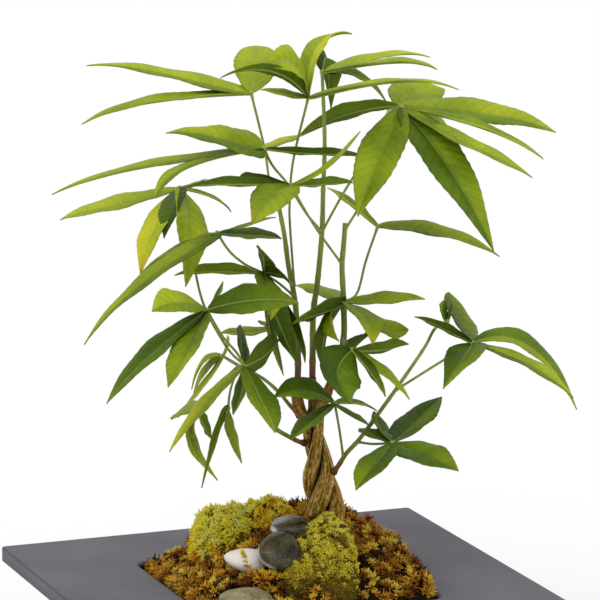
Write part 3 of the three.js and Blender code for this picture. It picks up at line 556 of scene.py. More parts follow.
def spun(x, y, angle):
    """A place turned about the upright axis."""
    cos, sin = math.cos(angle), math.sin(angle)
    return x * cos - y * sin, x * sin + y * cos


def to_pot(x, y):
    """A place as seen from the front, in the pot's own axes."""
    return spun(x, y, FRONT_TURN)


def piece(name, shape, materials, node, turned=False):
    """A finished piece from a shape: it rides on the body and stands for its node."""
    x, y, z = np.vstack(shape.points).T
    if turned:
        x, y = to_pot(x, y)
    mesh = bpy.data.meshes.new(name)
    mesh.from_pydata((np.stack([x, y, z + RIM], axis=1) * MM).tolist(), [], shape.faces)
    for material in materials:
        mesh.materials.append(material)
    mesh.polygons.foreach_set("material_index", shape.slots)
    for key, parts in shape.values.items():
        data = np.concatenate(parts).astype(np.float32)
        kind, field = ("FLOAT_COLOR", "color") if data.ndim == 2 else ("FLOAT", "value")
        mesh.attributes.new(key, kind, "POINT").data.foreach_set(field, data.ravel())
    mesh.update()
    mesh.shade_smooth()
    made = bpy.data.objects.new(name, mesh)
    bpy.context.scene.collection.objects.link(made)
    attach(made, "root")
    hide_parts(node)
    return made


def tube(shape, points, radii, sides, slot=0, **values):
    """A closed tube along points. Values are one number each or one for every ring."""
    points = np.asarray(points, float)
    _, across, up = rails(points)
    angle = np.linspace(0, 2 * math.pi, sides, endpoint=False)
    ring = across[:, None] * np.cos(angle)[None, :, None] + up[:, None] * np.sin(angle)[None, :, None]
    skin = points[:, None] + ring * np.asarray(radii, float).reshape(-1, 1, 1)
    spread = {key: np.repeat(value, sides) if np.ndim(value) else value for key, value in values.items()}
    shape.add(skin, skin_faces(len(points), sides), slot, **spread)


# ---- Materials ----------------------------------------------------------------------------------


class Paint:
    """A material and short ways to add nodes to it. Plain colours are display colours to 255."""

    def __init__(self, name):
        self.material = bpy.data.materials.new(name)
        self.material.use_nodes = True
        self.tree = self.material.node_tree
        self.shader = self.tree.nodes["Principled BSDF"]

    def put(self, node, key, value):
        """Sets a node's socket: to another socket, a display colour or a plain value."""
        if isinstance(value, bpy.types.NodeSocket):
            self.tree.links.new(value, node.inputs[key])
            return
        colour = node.inputs[key].type == "RGBA"
        node.inputs[key].default_value = srgb(*value) if colour else value

    def node(self, kind, inputs, **settings):
        made = self.tree.nodes.new(kind)
        for key, value in settings.items():
            setattr(made, key, value)
        for key, value in inputs.items():
            self.put(made, key, value)
        return made

    def value(self, name, output="Fac"):
        return self.node("ShaderNodeAttribute", {}, attribute_name=name).outputs[output]

    def sum(self, operation, *terms):
        return self.node("ShaderNodeMath", dict(enumerate(terms)), operation=operation).outputs[0]

    def add(self, first, second):
        return self.sum("ADD", first, second)

    def times(self, first, second):
        return self.sum("MULTIPLY", first, second)

    def scaled(self, value, factor, more):
        return self.sum("MULTIPLY_ADD", value, factor, more)

    def grain(self, scale, detail=3, roughness=0.5, stretch=None, at=None):
        """Noise from 0 to 1 with features of about 1/scale metres."""
        at = at or self.node("ShaderNodeTexCoord", {}).outputs["Object"]
        if stretch:
            at = self.node("ShaderNodeMapping", {"Vector": at, "Scale": stretch}).outputs[0]
        inputs = {"Vector": at, "Scale": scale, "Detail": detail, "Roughness": roughness}
        return self.node("ShaderNodeTexNoise", inputs).outputs["Fac"]

    def range(self, value, low, high, to_low=0.0, to_high=1.0):
        inputs = {0: value, 1: low, 2: high, 3: to_low, 4: to_high}
        return self.node("ShaderNodeMapRange", inputs, interpolation_type="SMOOTHSTEP").outputs[0]

    def mix(self, share, first, second):
        return self.node("ShaderNodeMix", {0: share, 6: first, 7: second}, data_type="RGBA").outputs[2]

    def ramp(self, value, *stops):
        made = self.node("ShaderNodeValToRGB", {0: value})
        band = made.color_ramp
        while len(band.elements) < len(stops):
            band.elements.new(0.5)
        for element, (place, colour) in zip(band.elements, stops):
            element.position = place
            element.color = srgb(*colour)
        return made.outputs[0]

    def finish(self, colour, roughness, height=None, distance=1.0, strength=1.0, specular=0.5):
        """Connects colour, roughness and relief; the specular level is the shader's own."""
        self.put(self.shader, "Base Color", colour)
        self.put(self.shader, "Roughness", roughness)
        self.put(self.shader, "Specular IOR Level", specular)
        if height is not None:
            inputs = {"Height": height, "Distance": distance * MM, "Strength": strength}
            self.put(self.shader, "Normal", self.node("ShaderNodeBump", inputs).outputs[0])
        return self.material


def leaf_material(name, under):
    """A blade's face: tone, partly painted shade and light, midrib, leaning side veins with quilted
    skin between them.
    """
    paint = Paint(name)
    across = paint.value("across")  # millimetres from the midrib
    share = paint.value("share")  # from foot to tip
    cloud = paint.grain(38, 3)
    speck = paint.grain(900, 2)
    fine = paint.grain(260, 4, 0.6)
    shade = paint.scaled(cloud, 0.5, -0.25)
    shade = paint.add(shade, paint.scaled(fine, 0.12, -0.06))
    shade = paint.add(shade, paint.scaled(share, 0.16, -0.08))
    # The leaflet's tone: partly its own colour, partly painted shade and light.
    shade = paint.add(shade, paint.value("tone"))
    colour = paint.ramp(
        shade,
        (0.0, (44, 70, 6)),
        (0.28, (92, 118, 20)),
        (0.5, (138, 158, 28)),
        (0.72, (180, 192, 42)),
        (1.0, (220, 218, 50)),
    )
    near = paint.sum("PINGPONG", paint.sum("FRACT", paint.value("vein")), 0.5)
    line = paint.range(near, 0.0, 0.1, 1.0, 0.0)
    rib = paint.range(across, 0.25, 0.8, 1.0, 0.0)
    pale = (150, 162, 84) if under else (166, 176, 96)
    deep = (44, 62, 16)
    colour = paint.mix(paint.times(line, 0.22), colour, pale if under else deep)
    rib_share = paint.times(rib, paint.scaled(paint.value("pale"), 0.6, 0.14))
    colour = paint.mix(rib_share, colour, pale)
    colour = paint.mix(paint.range(speck, 0.5, 0.75, 0.0, 0.16), colour, deep)
    dry = paint.times(paint.value("dry"), paint.range(share, 0.72, 0.98))
    colour = paint.mix(dry, colour, (200, 168, 40))
    brown = paint.times(dry, paint.range(share, 0.93, 1.0))
    colour = paint.mix(brown, colour, (120, 78, 30))
    if under:
        colour = paint.mix(0.3, colour, (96, 120, 40))
    relief = paint.sum("SUBTRACT", paint.times(near, 1.2), paint.times(rib, -0.9 if under else 0.7))
    relief = paint.scaled(fine, 0.5, relief)
    gloss = paint.range(cloud, 0.3, 0.7, 0.66 if under else 0.4, 0.74 if under else 0.54)
    specular = 0.07 if under else 0.12
    return paint.finish(colour, gloss, relief, distance=0.35, strength=0.8, specular=specular)


def stem_material():
    """Green stems, reddish brown where they are older, pale at the leaf joints."""
    paint = Paint("green_stem")
    streak = paint.grain(260, 3, stretch=(1, 1, 0.18))
    colour = paint.ramp(streak, (0.25, (102, 124, 32)), (0.75, (150, 166, 58)))
    colour = paint.mix(paint.value("joint"), colour, (164, 174, 82))
    bark = paint.ramp(streak, (0.3, (84, 44, 18)), (0.7, (136, 84, 38)))
    colour = paint.mix(paint.value("age"), colour, bark)
    return paint.finish(colour, 0.5, streak, distance=0.25, strength=0.7)


def bark_material():
    """Tan bark, ridged along the strand, with near-black painted shade in the grooves between the
    strands, and redder up the arms.
    """
    paint = Paint("trunk_bark")
    along = paint.value("lay", "Color")
    ridges = paint.grain(1.0, 5, 0.62, stretch=(26, 1.8, 6), at=along)
    cracks = paint.grain(1.0, 5, 0.7, stretch=(34, 12, 14), at=along)
    fine = paint.grain(620, 4, 0.75)
    mixed = paint.scaled(cracks, 0.55, paint.times(ridges, 0.5))
    colour = paint.ramp(
        mixed,
        (0.38, (46, 22, 3)),
        (0.46, (128, 86, 20)),
        (0.55, (196, 158, 62)),
        (0.64, (248, 234, 166)),
    )
    colour = paint.mix(paint.range(fine, 0.46, 0.66, 0.0, 0.6), colour, (74, 44, 12))
    colour = paint.mix(paint.times(paint.value("age"), 0.7), colour, (112, 50, 18))
    # Painted shade: near black where a strand faces into the twist.
    colour = paint.mix(paint.value("groove_shade"), colour, (26, 10, 1))
    return paint.finish(colour, 0.85, paint.scaled(fine, 0.5, mixed), specular=0.25)


def moss_material():
    """Moss threads, coloured thread by thread."""
    paint = Paint("moss_threads")
    fine = paint.grain(900, 3)
    speckle = paint.range(fine, 0.3, 0.7, 0.0, 0.2)
    colour = paint.mix(speckle, paint.value("tint", "Color"), (38, 28, 8))
    return paint.finish(colour, 0.85, fine, distance=0.2, specular=0.25)


def earth_material(name, dark, light):
    """Loose crumbs of soil or of old moss."""
    paint = Paint(name)
    crumbs = paint.grain(260, 6, 0.7)
    colour = paint.ramp(crumbs, (0.35, dark), (0.7, light))
    return paint.finish(colour, 0.95, crumbs, distance=2.0, specular=0.2)


def stone_material(name, dark, light, vein, roughness):
    """A smooth pebble: mottled, faintly banded, with fine pits and painted highlights."""
    paint = Paint(name)
    cloud = paint.grain(70, 4, 0.6)
    speck = paint.grain(1400, 2, 0.6)
    bands = paint.grain(40, 5, 0.6, stretch=(1, 1, 6))
    colour = paint.mix(paint.range(cloud, 0.35, 0.68), dark, light)
    colour = paint.mix(paint.range(bands, 0.52, 0.7, 0.0, 0.6), colour, vein)
    colour = paint.mix(paint.range(speck, 0.5, 0.7, 0.0, 0.6), colour, dark)
    colour = paint.mix(paint.range(speck, 0.48, 0.32, 0.0, 0.5), colour, vein)
    # Painted highlight: pale where the skin faces the way of a gleam.
    colour = paint.mix(paint.value("painted_gleam"), colour, (216, 216, 230))
    worn = paint.range(cloud, 0.3, 0.7, roughness, roughness + 0.12)
    return paint.finish(colour, worn, speck, distance=0.12, specular=0.3)


def slate_material():
    """The pot: matt slate grey, softly mottled, faintly brushed, darker along its edges, with painted
    shade under the rim and near-black painted shade down the inner wall.
    """
    paint = Paint("slate_pot")
    cloud = paint.grain(16, 4, 0.55)
    patch = paint.grain(60, 5, 0.6)
    fine = paint.grain(1100, 3, 0.6)
    colour = paint.mix(paint.range(cloud, 0.3, 0.7), (99, 97, 105), (110, 108, 116))
    colour = paint.mix(paint.range(patch, 0.5, 0.75, 0.0, 0.35), colour, (98, 96, 103))
    colour = paint.mix(paint.range(fine, 0.55, 0.8, 0.0, 0.35), colour, (84, 82, 88))
    # Darker along the edges; painted shade under the rim and near-black painted shade on the inner wall.
    colour = paint.mix(paint.times(paint.value("edge"), 0.45), colour, (20, 19, 20))
    return paint.finish(colour, 0.72, paint.scaled(patch, 1.6, fine), distance=0.12)


# ---- Leaves and stems ---------------------------------------------------------------------------


def blade_width(t, width, belly):
    foot, tip = BLADE["taper"]
    swell = np.maximum(np.sin(math.pi * t**belly), 0) ** (foot + tip * t)
    narrow = BLADE["foot_width"] + (BLADE["tip_width"] - BLADE["foot_width"]) * t
    return np.maximum(width * swell, narrow)


def rib_curve(hub, middle, tip):
    """A leaflet's arched rib, hooked at its tip: shares along it, points, directions and length."""
    start, end = np.array(hub, float), np.array(tip, float)
    end[2] += BLADE["hook"] * np.linalg.norm(end - start)
    control = 2 * np.array(middle, float) - (start + end) / 2

    def curve(t):
        return np.outer((1 - t) ** 2, start) + np.outer(2 * t * (1 - t), control) + np.outer(t**2, end)

    length = np.sum(np.linalg.norm(np.diff(curve(np.linspace(0, 1, 60)), axis=0), axis=1))
    rows = max(10, int(length / BLADE["row"]))
    t = np.linspace(0, 1, rows + 1)
    rib = curve(t)
    rib[:, 2] -= BLADE["hook"] * length * t**6
    along = unit(np.outer(2 * (1 - t), control - start) + np.outer(2 * t, end - control))
    return t, rib, along, length


def blade(shape, hub, seed, dry, pale, middle, tip, width, turn, tone=USUAL_TONE, belly=USUAL_BELLY):
    """One leaflet: a closed thin blade on an arched rib, and the raised rib under it."""
    t, rib, along, length = rib_curve(hub, middle, tip)
    level = np.cross(unit(np.array([rib[-1][0] - rib[0][0], rib[-1][1] - rib[0][1], 0])), (0, 0, 1))
    angle = -math.radians(turn)
    side = (
        level * math.cos(angle)
        + np.cross(along, level) * math.sin(angle)
        + along * (along @ level)[:, None] * (1 - math.cos(angle))
    )
    face = unit(np.cross(side, along))
    side = unit(np.cross(along, face))
    random = draws(seed)
    phases = [next(random) * 2 * math.pi, next(random) * 2 * math.pi]
    tone = tone + 0.08 * (next(random) - 0.5)
    lean = BLADE["halves"] * (2 * next(random) - 1)
    half = blade_width(t, width, belly) / 2
    fold = math.radians(BLADE["fold"])
    dip = half * math.sin(fold)
    across = np.linspace(-1, 1, 2 * BLADE["columns"] + 1)
    gap = BLADE["vein_gap"] * (0.55 + 0.45 * width / 28)
    skin = []
    veins = []
    for s in across:
        wave = np.sin(BLADE["waves"] * 2 * math.pi * t + phases[0 if s > 0 else 1]) * np.sin(math.pi * t)
        vein = (t * length - abs(s) * half * BLADE["vein_lean"]) / gap + (0.5 if s > 0 else 0)
        reach = half * (1 + BLADE["crimp"] * np.cos(2 * math.pi * vein) * abs(s) ** 3)
        bow = math.sin(math.pi * abs(s))
        quilt = BLADE["quilt"] * half * np.abs(np.sin(math.pi * vein)) * bow**0.5
        edge_wave = BLADE["wave_height"] * width * wave * abs(s) ** 1.5
        lift = -dip * (1 - abs(s)) + edge_wave + quilt + BLADE["arch"] * half * bow
        skin.append(rib + side * (s * reach * math.cos(fold))[:, None] + face * lift[:, None])
        veins.append(vein)
    skin = np.stack(skin, axis=1)
    normal = unit(np.cross(np.gradient(skin, axis=1), np.gradient(skin, axis=0)))
    thick = normal * (BLADE["thickness"] / 2)
    if np.mean(np.sum(normal * face[:, None], axis=2)) < 0:
        thick = -thick
    wide, rows = len(across), len(t)
    values = {
        "tone": np.tile(tone + lean * np.clip(8 * across, -1, 1), rows),
        "across": np.outer(half, np.abs(across)).ravel(),
        "vein": np.stack(veins, axis=1).ravel(),
        "share": np.repeat(t, wide),
        "dry": dry,
        "pale": pale,
    }
    first = shape.count
    second = first + rows * wide
    top = grid(rows, wide)
    shape.add(skin + thick, top, 0, **values)
    shape.add(skin - thick, [quad[::-1] for quad in top], 1, **values)
    last = (rows - 1) * wide
    # Round the edge of the grid: its first row, one side, its last row and the other side.
    rim = [*range(wide), *range(2 * wide - 1, last, wide)]
    rim += [*range(last + wide - 1, last - 1, -1), *range(last - wide, 0, -wide)]
    for a, b in zip(rim, rim[1:] + rim[:1]):
        shape.faces.append((first + b, first + a, second + a, second + b))
        shape.slots.append(0)
    keel = rib - face * (dip + 0.3)[:, None]
    tube(shape, keel, BLADE["keel"] * (1 - t) ** 0.7 + 0.16, 6, 2, joint=0.6 * (1 - t))


def stalk(shape, path):
    """A leaf stalk, swollen where it leaves the stem and where it carries the blades."""
    points, at = smoothed(path, 2.5)
    ends = np.exp(-((at / 3.5) ** 2)) + np.exp(-(((at[-1] - at) / 3.5) ** 2))
    tube(shape, points, STALK_RADIUS * (1 + 0.5 * ends), 10, 2, joint=0.8 * np.minimum(ends, 1))


def knob(shape, centre):
    """The small swelling that a leaf's blades spread from."""
    heights = np.linspace(-1, 1, 7) * 0.96
    points = np.array(centre, float) + np.outer(heights, (0, 0, HUB_RADIUS))
    tube(shape, points, HUB_RADIUS * np.sqrt(1 - heights**2), 10, 2, joint=0.8)


def shoot(name, materials):
    """A green stem with every compound leaf that grows on it, as one piece."""
    shape = Shape("tone", "across", "vein", "share", "dry", "pale", "age", "joint")
    (foot, top), path = SHOOTS[name]
    points, at = smoothed(path, 2.0)
    radii = foot + (top - foot) * (at / at[-1])
    gap = STEM["joint_gap"]
    rings = np.exp(-((at % gap - gap / 2) ** 2) / 2.2)
    age = np.clip(1.1 - at / STEM["brown"], 0, 1)
    collar = STEM["collar"] * np.exp(-((at / 3) ** 2)) if name in BRANCHES else 0
    tube(shape, points, radii * (1 + STEM["joint"] * rings + collar), 14, 2, age=age, joint=0.35 * rings)
    for row, (key, (grows_on, hub, path, leaflets)) in enumerate(LEAVES.items()):
        if grows_on != name:
            continue
        if path:
            stalk(shape, [*path, hub])
        knob(shape, hub)
        for k, leaflet in enumerate(leaflets):
            dry, pale = DRY_TIPS.get((key, k), 0), PALE_RIBS.get((key, k), 0)
            blade(shape, hub, 31 * row + k + 1, dry, pale, *leaflet)
    piece(f"leafy_{name}", shape, materials, f"shoot_{name}", turned=True)


# ---- Trunk --------------------------------------------------------------------------------------


def bark_skin(points, at, radii, seed):
    """Rings of a ridged bark skin round a strand, and how deep in the twist each point lies, for the
    painted shade between strands.
    """
    line = np.array(TRUNK["line"], float)
    sides, (ridged, wrinkled, swollen) = TRUNK["sides"], TRUNK["relief"]
    _, across, up = rails(points)
    angle = np.linspace(0, 2 * math.pi, sides, endpoint=False)
    skin = np.zeros((len(points), sides, 3))
    groove_shade = np.zeros((len(points), sides))
    core_x = np.interp(points[:, 2], line[:, 2], line[:, 0])
    core_y = np.interp(points[:, 2], line[:, 2], line[:, 1])
    for i, (x, y, _) in enumerate(points):
        inward = unit(np.array([core_x[i] - x, core_y[i] - y, 0]))
        for j, turn in enumerate(angle):
            out = across[i] * math.cos(turn) + up[i] * math.sin(turn)
            round_x, round_y = math.cos(turn) * 5, math.sin(turn) * 5
            ridge = rough(round_x, round_y, at[i] * 0.12, 2.2, seed)
            wrinkle = rough(round_x, round_y, at[i], 2.6, seed + 3)
            swell = rough(0, 0, at[i], 17, seed + 5)
            size = radii[i] * (1 + ridged * ridge + wrinkled * wrinkle + swollen * swell)
            skin[i, j] = points[i] + out * size
            # Painted shade: darkest where the skin faces the trunk's middle.
            groove_shade[i, j] = max(0.0, float(out @ inward) + 0.1) * 1.5
    return skin, np.clip(groove_shade, 0, 1), angle


def trunk_strand(name, material):
    """One bark-covered strand: a helix about the trunk's middle line, then its arm."""
    phase, arm, arm_radii = ARMS[name]
    line = np.array(TRUNK["line"], float)
    heights, sizes = np.array(TRUNK["strand"], float).T
    path, radii = [], []
    for z in range(TRUNK["foot"], TRUNK["top"] + 1, TRUNK["step"]):
        radius = np.interp(z, heights, sizes)
        angle = math.radians(TRUNK["top_phase"] + phase + 360 * (z - TRUNK["top"]) / TRUNK["lay"])
        reach = TRUNK["spread"] * radius
        x = np.interp(z, line[:, 2], line[:, 0]) + reach * math.cos(angle)
        y = np.interp(z, line[:, 2], line[:, 1]) + reach * math.sin(angle)
        path.append((x, y, z))
        radii.append(TRUNK["fatness"] * radius)
    points, at = smoothed([*path, *arm], 1.6)
    radii += arm_radii
    radii = np.interp(at / at[-1] * (len(radii) - 1), range(len(radii)), radii)
    skin, groove_shade, angle = bark_skin(points, at, radii, phase / 40)
    start, end = TRUNK["redder"]
    high = np.clip((points[:, 2] - start) / (end - start), 0, 1)
    # The painted shade fades out up the arms, where the strands part.
    groove_shade = groove_shade * (1 - high)[:, None]
    # The strand's own places for the bark's grain: round it, and slowly along it.
    lay = np.zeros((*groove_shade.shape, 4))
    lay[:, :, 0] = 0.5 + 0.2 * np.cos(angle)
    lay[:, :, 1] = at[:, None] * 0.02
    lay[:, :, 2] = 0.5 + 0.2 * np.sin(angle)
    shape = Shape("groove_shade", "age", "lay")
    values = {"groove_shade": groove_shade.ravel(), "age": np.repeat(high, TRUNK["sides"]), "lay": lay.reshape(-1, 4)}
    shape.add(skin, skin_faces(len(points), TRUNK["sides"]), **values)
    piece(f"bark_{name}", shape, [material], f"trunk_strand_{name}", turned=True)


# ---- Ground -------------------------------------------------------------------------------------


def mound_share(x, y):
    """Distance from the mound's middle as a share of its half side: 1 on its square outline."""
    p = MOUND["squareness"]
    across = np.abs(x - MOUND["centre"][0]) / MOUND["half"][0]
    away = np.abs(y - MOUND["centre"][1]) / MOUND["half"][1]
    return (across**p + away**p) ** (1 / p)


def slope(share, late, whole):
    return (1 - np.minimum(np.abs(share), 1) ** late) ** whole


def mound_height(x, y):
    """Height of the mound over the rim at a place in the pot's own axes."""
    fall = MOUND["fall"]
    across = (x - MOUND["centre"][0]) / MOUND["half"][0]
    away = (y - MOUND["centre"][1]) / MOUND["half"][1]
    dome = np.where(across < 0, slope(across, *fall["left"]), slope(across, *fall["right"]))
    dome = dome * np.where(away < 0, slope(away, *fall["front"]), slope(away, *fall["back"]))
    big, middling, small = MOUND["lumps"]
    lumps = (
        big * np.sin(0.13 * x + 1.1) * np.sin(0.15 * y - 0.4)
        + middling * np.sin(0.29 * x - 0.23 * y + 0.7)
        + small * np.sin(0.21 * x + 0.37 * y)
    )
    inside = np.minimum(1, 3 * (1 - np.minimum(mound_share(x, y), 1)) + 0.25)
    seen_across, _ = spun(x, y, -FRONT_TURN)
    lean, far = MOUND["lean"]
    top = MOUND["top"] - lean * np.clip(seen_across - HOLE["centre"][0], 0, far)
    centre, reach, depth = MOUND["hollow"]
    hx, hy = to_pot(*centre)
    dome = dome * (1 - depth * np.exp(-((x - hx) ** 2 + (y - hy) ** 2) / reach**2))
    return MOUND["edge"] + (top - MOUND["edge"]) * dome + lumps * inside


def mound_place(share, angle):
    """A place at a share of the way from the mound's middle to its square outline."""
    p = MOUND["squareness"]
    cos, sin = np.cos(angle), np.sin(angle)
    reach = share / (np.abs(cos) ** p + np.abs(sin) ** p) ** (1 / p)
    x = MOUND["centre"][0] + reach * MOUND["half"][0] * cos
    return x, MOUND["centre"][1] + reach * MOUND["half"][1] * sin


def crumbly(look, height, x, y):
    """The height of a bed under the tufts of a mound or a lobe, with crumbs on it."""
    crumbs = sum(high * rough(x, y, 0, size, seed) for high, size, seed in look["crumbs"])
    return float(height) - look["sunk"] + crumbs


def mound_top(x, y, _share):
    """The height of the brown moss's bed."""
    return crumbly(MOUND, mound_height(x, y), x, y)


def heap(shape, rings, around, place, top, base):
    """A closed heap: rings of points from the middle out, a wall down and a flat base."""
    points = []
    for i in range(rings + 1):
        share = math.sin(math.pi / 2 * max(i, 0.02) / rings)
        for j in range(around):
            x, y = place(share, 2 * math.pi * j / around)
            points.append((x, y, top(x, y, share)))
    points += [(x, y, base) for x, y, _ in points[-around:]]
    shape.add(points, skin_faces(rings + 2, around))


def threads(shape, starts, aims, lengths, thickness, tints, rng):
    """Short curled pointed threads with three sides, one at each start."""
    count = len(starts)
    helper = unit(np.cross(aims, rng.normal(size=(count, 3))))
    other = np.cross(aims, helper)
    curl = helper * (rng.uniform(*THREAD["curl"], count) * lengths)[:, None]
    rings = []
    for t, size, _ in THREAD["rings"]:
        centre = starts + aims * (lengths * t)[:, None] + curl * t * t
        for angle in (0, 2.1, 4.2):
            out = helper * math.cos(angle) + other * math.sin(angle)
            rings.append(centre + out * (thickness * size)[:, None])
    points = np.stack(rings, axis=1)
    quads = np.array(grid(3, 3, closed=True))
    ends = np.array([(2, 1, 0), (6, 7, 8)])
    first = (np.arange(count) * 9)[:, None, None]
    faces = (first + quads).reshape(-1, 4).tolist() + (first + ends).reshape(-1, 3).tolist()
    lights = [light for _, _, light in THREAD["rings"]]
    # Painted shade at each thread's foot and painted light at its tip.
    painted_shade_and_light = np.tile(np.repeat(lights, 3), count)
    shades = np.minimum(np.repeat(tints, 9, axis=0) * painted_shade_and_light[:, None], THREAD["lightest"])
    shades = np.hstack([shades, np.ones((9 * count, 1))])
    shape.add(points, faces, 1, tint=shades)


def tufts(shape, rng, look, bases, normals, tints, size=None):
    """Round moss tufts, each a burst of threads about its normal."""
    count = len(bases)
    size = size or look["size"]
    reach = size * (0.7 + 0.5 * rng.random(count) + 0.7 * rng.random(count) ** 9)
    for _ in range(look["threads"]):
        aims = unit(normals * TUFT["along"] + rng.normal(size=(count, 3)) * TUFT["spread"])
        inward = np.maximum(0, -np.sum(aims * normals, axis=1))
        aims = unit(aims + normals * inward[:, None] * TUFT["outwards"])
        starts = bases + aims * (TUFT["foot"] * reach)[:, None]
        lengths = reach * rng.uniform(*THREAD["length"], count)
        shade = tints * rng.uniform(*THREAD["light"], (count, 1))
        thickness = look["thick"] * rng.uniform(*THREAD["width"], count)
        threads(shape, starts, aims, lengths, thickness, shade, rng)


def lobe_place(row):
    """Outline function, share function and surface of one lobe, in the pot's own axes."""
    at, half, follow, rise, turn, seed, _ = row
    cx, cy = to_pot(*at)
    spin = math.radians(turn) + FRONT_TURN
    random = draws(seed)
    phase = [next(random) * 6 for _ in range(3)]

    def wobble(angle):
        waist = CLUMP["waist"] * np.sin(3 * angle + phase[0]) + CLUMP["square"] * np.sin(2 * angle) ** 2
        return 1 + waist + CLUMP["notch"] * np.sin(5 * angle + phase[1])

    def place(share, angle):
        u = share * half[0] * wobble(angle) * np.cos(angle)
        v = share * half[1] * wobble(angle) * np.sin(angle)
        x, y = spun(u, v, spin)
        return cx + x, cy + y

    def share_of(x, y):
        u, v = spun(x - cx, y - cy, -spin)
        u, v = u / half[0], v / half[1]
        return np.hypot(u, v) / wobble(np.arctan2(v, u))

    def top(x, y, share):
        lumps = 1 + CLUMP["lump"] * np.sin(0.3 * x + phase[2]) * np.sin(0.27 * y)
        dome = np.sqrt(np.maximum(0, 1 - share ** CLUMP["fall"]))
        return follow * (mound_height(x, y) + CLUMP["lift"]) + rise * dome * lumps

    return place, share_of, top


def slopes(height, x, y):
    """Unit normals of a surface given by its height."""
    step = 0.5
    dx = (height(x + step, y) - height(x - step, y)) / (2 * step)
    dy = (height(x, y + step) - height(x, y - step)) / (2 * step)
    return unit(np.stack([-dx, -dy, np.ones_like(dx)], axis=1))


def palette(look, pick):
    """Linear colours between those of a look, for picks from 0 to 1."""
    table = np.array([srgb(*c)[:3] for c in look["colours"]])
    place = np.clip(pick, 0, 1) * (len(table) - 1)
    return np.stack([np.interp(place, range(len(table)), table[:, k]) for k in range(3)], axis=1)


def patches(x, y, scale, seed):
    return np.array([rough(a, b, 0, scale, seed) for a, b in zip(x, y)])


def clear_of_stones(x, y, z):
    """True for the places outside every pebble, in the pot's own axes."""
    free = np.ones(len(x), bool)
    for at, half, tilt, _ in STONES.values():
        cx, cy = to_pot(at[0], at[1])
        u, v = spun(x - cx, y - cy, -math.radians(tilt[2]) - FRONT_TURN)
        from_middle = zip((u, v, z - at[2]), half)
        free &= sum((gap / (reach + STONE_MARGIN)) ** 2 for gap, reach in from_middle) > 1
    return free


def open_ground(x, y, z, lobes=()):
    """True where moss may stand: on the mound, off the pebbles, the trunk's hole and the lobes given."""
    hx, hy = to_pot(*HOLE["centre"])
    free = clear_of_stones(x, y, z) & (mound_share(x, y) < TUFTS_REACH)
    free &= np.hypot(x - hx, y - hy) > HOLE["radius"]
    for _, share_of, _ in lobes:
        free &= share_of(x, y) > LOBE_REACH
    return free


def behind_front(y):
    """True for the places behind the bare strip along the mound's front."""
    return (y - MOUND["centre"][1]) / MOUND["half"][1] > -MOUND["bare_front"]


def only(keep, *arrays):
    return [values[keep] for values in arrays]


def scattered(rng, half, spacing):
    """Places on a loose grid about the pot's middle, each moved at random."""
    line = np.arange(-half, half, spacing)
    x, y = (axis.ravel() for axis in np.meshgrid(line, line))
    return x + rng.uniform(-0.5, 0.5, len(x)) * spacing, y + rng.uniform(-0.5, 0.5, len(y)) * spacing


def brown_moss(materials, rng, lobes):
    """The mound's dark bed with its tufts, those round the trunk and down its sides, and single ones."""
    look = MOSS["bed"]
    tones = BROWN_TONES
    shape = Shape("tint")
    heap(shape, 40, 120, mound_place, mound_top, MOUND["bottom"])
    x, y = scattered(rng, 80, look["spacing"])
    z = mound_height(x, y)
    x, y, z = only(open_ground(x, y, z, lobes) & behind_front(y), x, y, z)
    density = patches(x, y, 6, 7)
    x, y, z, density = only(density > look["sparse"], x, y, z, density)
    pick = tones["top"] + tones["patches"] * patches(x, y, 9, 11) + rng.normal(0, tones["tufts"], len(x))
    bases = np.stack([x, y, z - look["sunk"] + look["uneven"] * density], axis=1)
    tufts(shape, rng, look, bases, slopes(mound_height, x, y), palette(look, pick))

    # Round the trunk's foot.
    count = COLLAR["tufts"]
    angle = rng.uniform(0, 2 * math.pi, count)
    reach = HOLE["radius"] + rng.uniform(*COLLAR["reach"], count)
    hx, hy = to_pot(*HOLE["centre"])
    x, y = hx + reach * np.cos(angle), hy + reach * np.sin(angle)
    bases = np.stack([x, y, mound_height(x, y) + rng.uniform(*COLLAR["lift"], count)], axis=1)
    tints = palette(look, rng.uniform(*COLLAR["pick"], count))
    upright = np.tile((0.0, 0.0, 1.0), (count, 1))
    tufts(shape, rng, look, bases, upright, tints)

    # Down the heap's own steep sides, but not along the front.
    angle = rng.uniform(0, 2 * math.pi, look["sides"])
    x, y = mound_place(MOUND["sides"], angle)
    z = mound_height(MOUND["brow"] * x, MOUND["brow"] * y) * rng.random(len(x)) - 1
    x, y, z = only(open_ground(x, y, z, lobes) & behind_front(y), x, y, z)
    outward = unit(np.stack([x, y, np.full(len(x), 30.0)], axis=1))
    bases = np.stack([x, y, z], axis=1) - outward * 1.5
    pick = tones["sides"] + tones["patches"] * patches(x + z, y, 9, 13)
    pick += rng.normal(0, tones["tufts"], len(x))
    tufts(shape, rng, look, bases, outward, palette(look, pick))

    for (sx, sy, sz), size, colour in STRAYS:
        bases = np.array([(*to_pot(sx, sy), sz)])
        tufts(shape, rng, look, bases, upright[:1], np.array([srgb(*colour)[:3]]), size)
    piece("moss_bed", shape, materials, "moss_mound")


